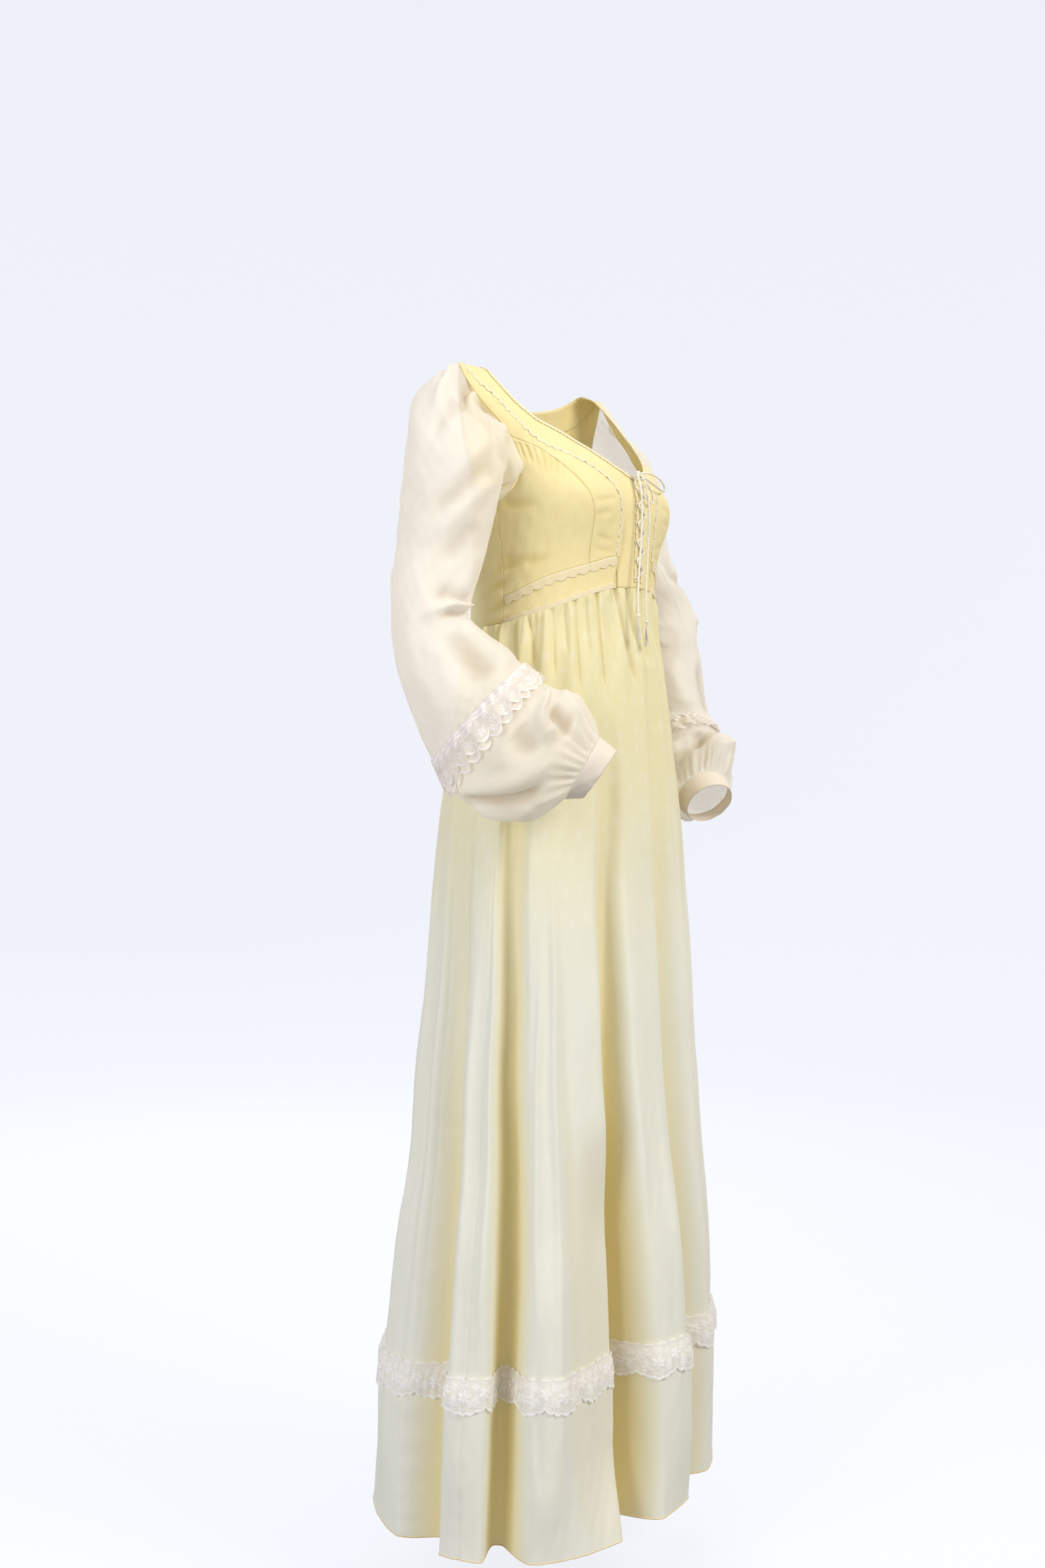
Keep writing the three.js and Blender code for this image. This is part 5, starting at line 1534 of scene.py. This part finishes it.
@dataclass
class Sleeve:
    """One sleeve: upper part, lace header and frill, puff and cuff."""

    side: Side
    rings: Table
    cuff_row: dict[str, float]
    folds: list[Fold]
    columns: int = 220

    def build(self, voile: bpy.types.Material, cuff: bpy.types.Material, lace: bpy.types.Material,
              ribbon: bpy.types.Material) -> None:
        """Builds the sleeve's pieces, each over its own rings."""
        self.cloth("sleeve", 0.0, LACE_RING, 150, voile)
        self.cloth("sleeve_puff", LACE_RING, LAST_RING, 90, voile)
        self.cuff(cuff)
        self.lace(lace, ribbon)

    def turns(self, columns: int) -> np.ndarray:
        """Radians round the arm at each column."""
        return np.arange(columns) * 2 * math.pi / columns

    def mirrored(self, points: np.ndarray) -> np.ndarray:
        """Points on this sleeve's own side."""
        return points * [-1, 1, 1] if self.side is Side.LEFT else points

    def cloth(self, node: str, low: float, high: float, rows: int, voile: bpy.types.Material) -> None:
        """Adds the cloth between two rings."""
        ring, turn = np.meshgrid(np.linspace(low, high, rows), self.turns(self.columns), indexing="ij")
        relief = sleeve_relief(self.folds, ring, turn)
        points, outward = sleeve(self.rings, ring, turn)
        if low == 0:
            points = rounded(points, 160, 0.9 * (1 - smooth(ring[:, 0], 2.2, 3.2)))
        points = self.mirrored(points + outward * relief[..., None])
        # Painted shade: a darker colour in the sleeve's troughs
        marks = {"painted_shade": np.clip(-relief / SLEEVE_SHADE_DEPTH, 0, 1)}
        piece = grid_mesh(f"{node}_{self.side.label}_cloth", points, closed=True, marks=marks)
        dress_piece(piece, voile, (f"{node}_{self.side.label}",))

    def cuff(self, material: bpy.types.Material) -> None:
        """Adds the plain folded cuff, with a rolled lower edge."""
        columns, rows = 160, 18
        turn = self.turns(columns)
        last_row = np.array(len(self.rings.rows) - 1.0)
        first = ring_point(self.rings.at(last_row), turn)
        last = ring_point(self.cuff_row, turn)
        share = np.linspace(0.0, 1, rows)[:, None, None]
        points = first[None] * (1 - share) + last[None] * share
        normals = grid_normals(points, True)
        edge = np.minimum(np.minimum(share[..., 0], 1 - share[..., 0]) * 9, 1)
        wave = 0.35 * crumple(np.degrees(turn)[None] * 0.5, share[..., 0] * 25, 14, 20, 12)
        points = points + normals * (0.5 * np.sqrt(edge) + wave)[..., None]
        piece = grid_mesh(f"cuff_{self.side.label}_cloth", self.mirrored(points), closed=True)
        dress_piece(piece, material, (f"cuff_{self.side.label}",))
        thicken(piece, CUFF_THICKNESS)

    def lace(self, lace: bpy.types.Material, ribbon: bpy.types.Material) -> None:
        """Adds the puckered header ribbon and the two layers of scalloped frill."""
        columns, label = 420, self.side.label
        turn = self.turns(columns)
        around = np.degrees(turn) * SLEEVE_SCALE[0] * 1.25
        share = np.linspace(0, 1, 12)[:, None]
        ring = LACE_RING - 0.05 + share * (HEADER_END - LACE_RING + 0.05)
        pucker = np.abs(np.sin(turn * 13 + 0.8 * np.sin(turn * 5)))
        swell = np.sin(share * math.pi) ** 0.5
        lift = 1.5 + swell * (0.6 + 2.6 * pucker) + 0.5 * np.sin(turn * 39 + share * 5)
        points = sleeve_points(self.rings, self.folds, ring, turn[None], lift)
        header = grid_mesh(f"sleeve_header_{label}", self.mirrored(points), closed=True)
        dress_piece(header, ribbon)
        for layer, (start, end) in enumerate(FRILL_LAYERS):
            share = np.linspace(0, 1, 22)[:, None]
            scallop = np.abs(np.sin(turn * 14 + layer * 0.8))
            low = end - 0.02 - 0.13 * (1 - scallop) ** 1.3
            ring = start + share * (low - start)
            wave = np.sin(turn * 21 + layer * 1.7 + 0.9 * np.sin(turn * 6))
            lift = 2.0 + (1.6 if layer == 0 else 0.4) + share * (2.2 + 2.2 * wave)
            motif = self.frill_motif(turn * 14 + layer * 0.8, share, scallop)
            points = sleeve_points(self.rings, self.folds, ring, turn[None], lift + 0.4 * motif)
            name = f"sleeve_frill_{'upper' if layer == 0 else 'lower'}_{label}"
            piece = grid_mesh(name, self.mirrored(points), closed=True, marks={"motif": motif},
                              uv=(around * MM, share[:, 0] * FRILL_LONG))
            nodes = (f"sleeve_lace_{label}",) if layer == 1 else ()
            dress_piece(piece, lace, nodes)

    @staticmethod
    def frill_motif(phase: np.ndarray, share: np.ndarray, scallop: np.ndarray) -> np.ndarray:
        """Motifs of the frill: a flower in each scallop and a corded edge."""
        x = (phase % math.pi - math.pi / 2) / math.pi * 12
        y = (share - 0.6) * 24
        mask = petals(x + 0 * y, y + 0 * x, 4.6, 5, 0.5)
        mask = np.maximum(mask, petals(x + 0 * y, (share - 0.2) * 24 + 0 * x, 3.0, 4, 0.2))
        rim = (1 - share) * 24
        mask = np.maximum(mask, smooth(1.7 - np.abs(rim - 1.2), 0, 1.0) + 0 * scallop)
        return np.clip(mask, 0, 1)


# Trims


@dataclass(frozen=True)
class Braid:
    """Narrow trim: its edges from the line it follows, and its scallops.

    Attributes:
        low: One edge in millimetres from the line.
        high: The other edge, which is scalloped.
        scallop: Depth of the scallops.
        pitch: Length of a scallop.
        lift: Height above the cloth.
        wave: How far the whole trim waves from side to side.
    """

    low: float
    high: float
    scallop: float = 0.0
    pitch: float = 8.0
    lift: float = 0.9
    wave: float = 0.0


NECK_EDGING = Braid(-1.2, 3.6, 1.8, 4.4)
BACK_EDGING = Braid(-3.6, 1.2, 0.0, 4.4)
BAND_TRIM = Braid(-2.6, 2.6, 1.2, 6.5, 1.0, 1.1)
MIDRIFF_TOP_TRIM = Braid(-0.5, -11.5, -3.4, 14.5)
MIDRIFF_BOTTOM_TRIM = Braid(0.0, 7.0, 2.2, 14.5)
LACING_EDGING = Braid(-2.4, 2.4, 1.2, 5.5, 1.0, 0.4)


@dataclass
class Trims:
    """Every narrow trim of the bodice."""

    braid: bpy.types.Material = field(default_factory=TRIM_BRAID.build)

    def build(self) -> None:
        """Builds the trims of both sides and of the back neck."""
        for side in Side:
            self.front(side)
        self.strip("neck_edging_back", back_neck_line("inner", 80), BACK_EDGING, Side.LEFT)

    def front(self, side: Side) -> None:
        """Builds the trims of one side of the front."""
        label = side.label
        place = np.linspace(0, 7.85, 150)
        neck = FRONT.column("neck_a", place), FRONT.column("neck_z", place)
        self.strip(f"neck_edging_{label}", neck, NECK_EDGING, side)
        place = np.linspace(0, MIDRIFF_ROW, 190)
        line = FRONT.column("trim_a", place), FRONT.column("trim_z", place)
        self.strip(f"band_trim_{label}", line, BAND_TRIM, side)
        angle = np.linspace(18.2, 89.5, 260)
        self.strip(f"midriff_top_trim_{label}", (angle, midriff_top_z(angle)), MIDRIFF_TOP_TRIM, side)
        self.strip(f"midriff_bottom_trim_{label}", (angle, waist_z(angle)), MIDRIFF_BOTTOM_TRIM, side)
        z = np.linspace(-140, -257, 110)
        row = np.full(z.shape, math.degrees(math.asin(LACING_HALF / BUST_RADIUS))), z
        self.strip(f"lacing_edging_{label}", row, LACING_EDGING, side)

    def strip(self, node: str, line: tuple[np.ndarray, np.ndarray], braid: Braid, side: Side) -> None:
        """Adds a trim: steps across its line on the cloth, raised towards its middle.

        Args:
            node: The solid that it stands for.
            line: Angles and heights that the trim follows.
            braid: Its edges, scallops and height.
            side: The side that it lies on.
        """
        angle, z = line[0] * side.value, line[1]
        points, normals = torso(angle, z), torso_normal(angle, z)
        steps = np.linalg.norm(np.gradient(points, axis=0), axis=-1)
        along = np.cumsum(steps) - steps[0]
        count = int(along[-1] / 0.9)
        wanted = np.linspace(0, along[-1], count)
        angle, z = np.interp(wanted, along, angle), np.interp(wanted, along, z)
        points, normals = torso(angle, z), torso_normal(angle, z)
        tangent = unit(np.gradient(points, axis=0))
        across = unit(np.cross(tangent, normals)) * -side.value
        columns = 9
        share = np.linspace(0, 1, columns)[None, :]
        lobe = 1 - np.abs(np.sin(wanted * math.pi / braid.pitch))[:, None]
        edge = braid.high - braid.scallop * lobe
        width = braid.low + share * (edge - braid.low)
        width = width + braid.wave * np.sin(wanted * 2 * math.pi / 11)[:, None]
        total = abs(braid.high - braid.low)
        inner = np.minimum(share, 1 - share) * total
        bars = 0.75 * np.cos(wanted * math.pi / 1.6)[:, None] ** 2
        motif = np.maximum(smooth(1.3 - inner, 0, 0.8), bars)
        lift = braid.lift + bodice_relief(angle, z)[:, None] + 0.35 * motif
        lift = lift + 0.25 * np.sin(share * math.pi)
        grid = points[:, None] + across[:, None] * width[..., None] + normals[:, None] * lift[..., None]
        piece = grid_mesh(f"{node}_braid", grid, marks={"motif": motif + 0 * share})
        dress_piece(piece, self.braid, (node,))
        thicken(piece, BRAID_THICKNESS)


# Cords

BOW_UPPER = [
    (-1.5, -110.5, -126), (8, -111, -124), (20, -111.5, -123.5), (34, -111, -124.5),
    (48, -109.5, -127), (60, -107, -130.5), (67, -105, -134.5), (66, -105.5, -138.5),
    (58, -108.5, -140.5), (46, -111, -139.5), (34, -112.5, -137), (22, -113, -134),
    (11, -112.6, -131.4), (3, -111.8, -129.6), (-1.6, -111, -128.9),
]
BOW_LOWER = [
    (-7.4, -111.4, -131.6), (-5.6, -112.6, -136.2), (-2.2, -113.8, -142), (2, -115, -148.6),
    (6.5, -116, -154.6), (11.5, -116.3, -159), (16.5, -116.3, -160.2), (19.8, -116.2, -157.5),
    (20, -116, -152), (17.4, -115.4, -146), (13.6, -114.8, -141), (9, -114, -137),
    (4.4, -113.2, -134.4), (0, -112.2, -132.7), (-4.2, -111.4, -131.6),
]
END_RIGHT = [
    (-10.3, -112.7, -128.2), (-11.4, -114.6, -133), (-12.2, -117, -141), (-12.8, -119, -152),
    (-13.2, -120.2, -165), (-13.6, -120.5, -181), (-14, -120.2, -198), (-14.8, -119.6, -215),
    (-16, -119, -232), (-17.5, -118.8, -247), (-19, -118.8, -261), (-20.4, -119.2, -274),
    (-21.4, -120, -285), (-22, -120.6, -291.5), (-22.2, -121, -295.4),
]
END_LEFT = [
    (-4.8, -114.6, -129), (-3.6, -117, -134), (-2.4, -119.4, -141), (-1.2, -121, -150),
    (-0.2, -121.8, -161), (0.6, -122, -175), (1, -121.8, -190), (1, -121, -205),
    (0.6, -120.4, -220), (-0.2, -120, -235), (-1.2, -119.8, -250), (-2.4, -119.8, -264),
    (-3.6, -120.2, -278), (-4.4, -121, -290), (-5, -121.6, -298), (-5.2, -122, -302.4),
]
LACING_ROWS, LACING_TOP, LACING_PITCH, LACING_HALF = 11, -143, 11, 8
LACING_START = (-6, -106.9, -130.1)
KNOT = np.array([-6.0, -111.0, -127.0])
TASSEL_LENGTH, TASSEL_PLIES = 30.0, 22


def curve_through(points: np.ndarray, steps: int) -> np.ndarray:
    """Points on a smooth curve through given ones: a Catmull-Rom curve.

    Args:
        points: The points that it passes through.
        steps: How many points to return for each span.

    Returns:
        The points of the curve.
    """
    ends = np.concatenate([[2 * points[0] - points[1]], points, [2 * points[-1] - points[-2]]])
    t = np.linspace(0, 1, steps, endpoint=False)[:, None]
    p0, p1, p2, p3 = (ends[k:len(ends) - 3 + k, None] for k in range(4))
    spans = 0.5 * (
        2 * p1 + (p2 - p0) * t + (2 * p0 - 5 * p1 + 4 * p2 - p3) * t**2
        + (3 * p1 - p0 - 3 * p2 + p3) * t**3
    )
    return np.concatenate([spans.reshape(-1, 3), points[-1:]])


@dataclass
class Cords:
    """Lacing, bow and hanging ends with their knots and tassels."""

    cotton: bpy.types.Material = field(default_factory=COTTON_CORD.build)

    def build(self) -> None:
        """Builds the lacing, the bow's knot, loops and ends."""
        points = [np.array(LACING_START)]
        for row in range(LACING_ROWS):
            x = LACING_HALF if row % 2 else -LACING_HALF
            angle, z = math.degrees(math.asin(x / BUST_RADIUS)), LACING_TOP - row * LACING_PITCH
            points.append(torso(angle, z) + torso_normal(angle, z) * 3.0)
        lacing = self.twisted("lacing", np.array(points), 10)
        dress_piece(lacing, self.cotton, ("lacing_cord",))
        knot = self.knot("bow_knot_wraps", KNOT, 4.0, 0.75)
        dress_piece(knot, self.cotton, ("bow_knot",))
        self.cord("bow_loop_upper", BOW_UPPER, "object", "loose")
        self.cord("bow_loop_lower", BOW_LOWER, "object", "loose")
        self.cord("cord_end_right", END_RIGHT, "knot", "hanging", "tassel_right")
        self.cord("cord_end_left", END_LEFT, "knot", "hanging", "tassel_left")

    def cord(self, node: str, route: list[tuple[float, float, float]], far_end: str, lay: str,
             tassel: str = "") -> None:
        """Adds one free cord on its route, with its tassel if it has one."""
        path = curve_through(np.array(route, dtype=float), 8)
        piece = self.twisted(node + "_cord", np.array(route, dtype=float), 8)
        dress_piece(piece, self.cotton, (node,))
        if tassel:
            self.tassel(tassel, path[-1])

    def twisted(self, name: str, route: np.ndarray, steps: int) -> bpy.types.Object:
        """Cord as a tube whose radius swells with its three turning plies."""
        path = curve_through(route, steps)
        along = unit(np.gradient(path, axis=0))
        first = unit(np.cross(along, [[0.31, -0.9, 0.3]]))
        second = np.cross(along, first)
        turn = np.arange(12) * 2 * math.pi / 12
        run = np.concatenate([[0], np.cumsum(np.linalg.norm(np.diff(path, axis=0), axis=-1))])
        radius = CORD_DIAMETER / 2 * (0.93 + 0.07 * np.cos(3 * (turn[None] - run[:, None] * 0.75)))
        ring = circles(first, second, turn)
        grid = path[:, None] + ring * radius[..., None]
        ends = [np.repeat(path[k][None, None], 12, axis=1) for k in (0, -1)]
        return grid_mesh(name, np.concatenate([ends[0], grid, ends[1]]), closed=True)

    def knot(self, name: str, centre: np.ndarray, radius: float, flat: float) -> bpy.types.Object:
        """Knot as a small ball with two wraps of cord raised round it."""
        theta = np.linspace(0.02, math.pi - 0.02, 24)[:, None]
        phi = np.arange(32)[None] * 2 * math.pi / 32
        wraps = 1 + 0.09 * np.cos(6 * theta + 2 * np.sin(phi)) + 0.05 * np.cos(3 * phi)
        x = radius * wraps * np.sin(theta) * np.cos(phi)
        y = radius * flat * wraps * np.sin(theta) * np.sin(phi)
        z = radius * wraps * np.cos(theta) + 0 * phi
        return grid_mesh(name, centre + np.stack([x, y, z], -1), closed=True)

    def tassel(self, node: str, end: np.ndarray) -> bpy.types.Object:
        """End knot with 22 loose plies below it, as one joined mesh.

        Each ply is a thin four-sided tube that spreads and waves as it falls.
        """
        top = end + np.array([0, 0, -3.1])
        ball = self.knot(node + "_knot", top, 2.7, 1.0)
        random = np.random.default_rng(len(node) + int(abs(end[0])))
        parts = [ball]
        for strand in range(TASSEL_PLIES):
            turn = strand * 2.4
            reach = 1.9 * math.sqrt((strand + 0.5) / TASSEL_PLIES)
            spread = random.uniform(0.8, 1.9)
            length = TASSEL_LENGTH * random.uniform(0.8, 1.0)
            t = np.linspace(0, 1, 14)[:, None]
            sway = np.array([[math.cos(turn), math.sin(turn), 0]])
            wave = 0.5 * np.sin(t * 9 + turn) * np.array([[math.sin(turn), -math.cos(turn), 0]])
            line = top + sway * (reach * (0.5 + spread * t**1.5)) + wave * t
            line = line + np.array([[0, 0, -1]]) * (1.5 + length * t)
            parts.append(tube_mesh(f"{node}_ply_{strand}", line, 0.33, 4))
        with bpy.context.temp_override(active_object=ball, selected_editable_objects=parts):
            bpy.ops.object.join()
        ball.name = node + "_plies"
        dress_piece(ball, self.cotton, (node,))
        return ball


# Studio

FLOOR_Z = -1.46
STAGE_RADIUS = 4.3
STAGE_BEND = 0.9
STAGE_HEIGHT = 4.2
STAGE_SIDES = 72
SKY_COLOUR = "#F6F8FF"
CAMERA_PLACE = (-2.0596, -1.3273, -0.480)
VIEW_ANGLE = 56.0
HORIZON_PITCH = 0.5
FOCAL_PIXELS, IMAGE_HEIGHT, SENSOR = 2959, 2352, 36.0


@dataclass(frozen=True)
class Lamp:
    """Square soft light that faces a target.

    Attributes:
        name: Its name.
        place: Where it stands, in metres.
        target: What it faces.
        size: Its side in metres.
        power: Its power in watts.
        colour: Its colour in sRGB hex.
    """

    name: str
    place: tuple[float, float, float]
    target: tuple[float, float, float]
    size: float
    power: float
    colour: str = "#FFFFFF"

    def build(self) -> None:
        """Adds the lamp, unseen by the camera."""
        light = bpy.data.lights.new(self.name, "AREA")
        light.shape = "SQUARE"
        light.size = self.size
        light.energy = self.power
        light.color = linear(self.colour)[:3]
        lamp = bpy.data.objects.new(self.name, light)
        bpy.context.scene.collection.objects.link(lamp)
        lamp.location = self.place
        lamp.visible_camera = False
        towards = np.array(self.target) - np.array(self.place)
        flat = math.hypot(towards[0], towards[1])
        lamp.rotation_euler = (
            math.atan2(flat, -towards[2]), 0, math.atan2(towards[1], towards[0]) - math.pi / 2)


# A key from the front right of the view, and three fills
LAMPS = (
    Lamp("key", (-0.1, -2.9, 1.1), (0.0, 0.0, -0.7), 1.5, 70.0, "#FFFBF4"),
    Lamp("fill", (-3.2, 0.3, -0.1), (0.0, 0.0, -0.8), 1.6, 48.0, "#F6F8FF"),
    Lamp("top", (-0.3, -0.2, 2.4), (0.0, 0.0, -0.5), 1.4, 28.0),
    Lamp("back", (2.1, 2.6, 0.8), (0.0, 0.0, -0.7), 1.8, 42.0),
)


@dataclass
class Studio:
    """Pale floor and wall, soft lights and the camera.

    Attributes:
        lamps: The soft lights.
        sky: Strength of the pale light from all round.
        glow: Strength of the wall's own light.
    """

    lamps: tuple[Lamp, ...] = LAMPS
    sky: float = 0.38
    glow: float = 0.82

    def build(self) -> None:
        """Builds the stage, the lights and the camera."""
        self.stage()
        self.lights()
        self.camera()

    def stage(self) -> None:
        """Adds a round pale floor that curves up into a wall, beyond every camera.

        It glows as a lit studio wall does. It is hidden from diffuse rays, so that it
        doesn't light the cloth.
        """
        bend = np.linspace(0, math.pi / 2, 14)
        flat = [0.001, 1.0, 2.0, 3.0]
        curve = STAGE_BEND * np.sin(bend), STAGE_BEND - STAGE_BEND * np.cos(bend)
        reach = np.concatenate([flat, STAGE_RADIUS - STAGE_BEND + curve[0], [STAGE_RADIUS]])
        rise = np.concatenate([[0] * len(flat), curve[1], [STAGE_HEIGHT]])
        turn = np.arange(STAGE_SIDES) * 2 * math.pi / STAGE_SIDES
        grid = np.zeros((len(reach), len(turn), 3))
        grid[..., 0] = reach[:, None] * np.cos(turn)
        grid[..., 1] = reach[:, None] * np.sin(turn)
        grid[..., 2] = FLOOR_Z + rise[:, None]
        backdrop = grid_mesh("backdrop", grid / MM, closed=True)
        material = bpy.data.materials.new("painted wall and floor")
        material.use_nodes = True
        shader = material.node_tree.nodes["Principled BSDF"]
        shader.inputs["Base Color"].default_value = linear("#6E7074")
        shader.inputs["Roughness"].default_value = 0.9
        shader.inputs["Emission Color"].default_value = linear(SKY_COLOUR)
        shader.inputs["Emission Strength"].default_value = self.glow
        backdrop.data.materials.append(material)
        backdrop.visible_diffuse = False

    def lights(self) -> None:
        """Adds the lamps and a pale sky."""
        for lamp in self.lamps:
            lamp.build()
        world = bpy.data.worlds.new("studio")
        bpy.context.scene.world = world
        world.use_nodes = True
        sky = world.node_tree.nodes["Background"]
        sky.inputs["Color"].default_value = linear(SKY_COLOUR)
        sky.inputs["Strength"].default_value = self.sky
        bpy.context.scene.view_settings.view_transform = "Standard"

    def camera(self) -> None:
        """Adds the camera at the photograph's place, angle and field of view."""
        data = bpy.data.cameras.new("camera")
        data.sensor_width = SENSOR
        data.lens = FOCAL_PIXELS / IMAGE_HEIGHT * SENSOR
        data.clip_end = 50
        camera = bpy.data.objects.new("camera", data)
        bpy.context.scene.collection.objects.link(camera)
        camera.location = CAMERA_PLACE
        camera.rotation_euler = (math.radians(90 - HORIZON_PITCH), 0, math.radians(-VIEW_ANGLE))
        bpy.context.scene.camera = camera


# Cuts


class Held(Enum):
    """How a sheet of cloth is held."""

    FITTED = "stretched"
    GATHERED = "gathered"


@dataclass(frozen=True)
class Cut:
    """Flat cut of a sheet of cloth before it was sewn.

    Attributes:
        width: Metres across.
        length: Metres along.
        held: How it is held.
        area: Square metres where the cut isn't a rectangle, else nought.
        rests_on: What it hangs from or lies on.
        carries: The trims and threads sewn to it.
    """

    width: float
    length: float
    held: Held
    area: float = 0.0
    rests_on: tuple[str, ...] = ()
    carries: tuple[str, ...] = ()


def main() -> None:
    """Builds the dress and the studio."""
    logging.basicConfig(level=logging.INFO, format="%(message)s")
    Bodice().build()
    Skirt().build()
    sleeve_voile, cuff_voile = SLEEVE_VOILE.build(), CUFF_VOILE.build()
    frill_lace, ribbon = FRILL_LACE.build(), RIBBON.build()
    sleeves = [
        Sleeve(Side.RIGHT, RIGHT_RINGS, RIGHT_CUFF, RIGHT_FOLDS),
        Sleeve(Side.LEFT, LEFT_RINGS, LEFT_CUFF, LEFT_FOLDS),
    ]
    for one in sleeves:
        one.build(sleeve_voile, cuff_voile, frill_lace, ribbon)
    Trims().build()
    Cords().build()
    Studio().build()


if __name__ == "__main__":
    main()
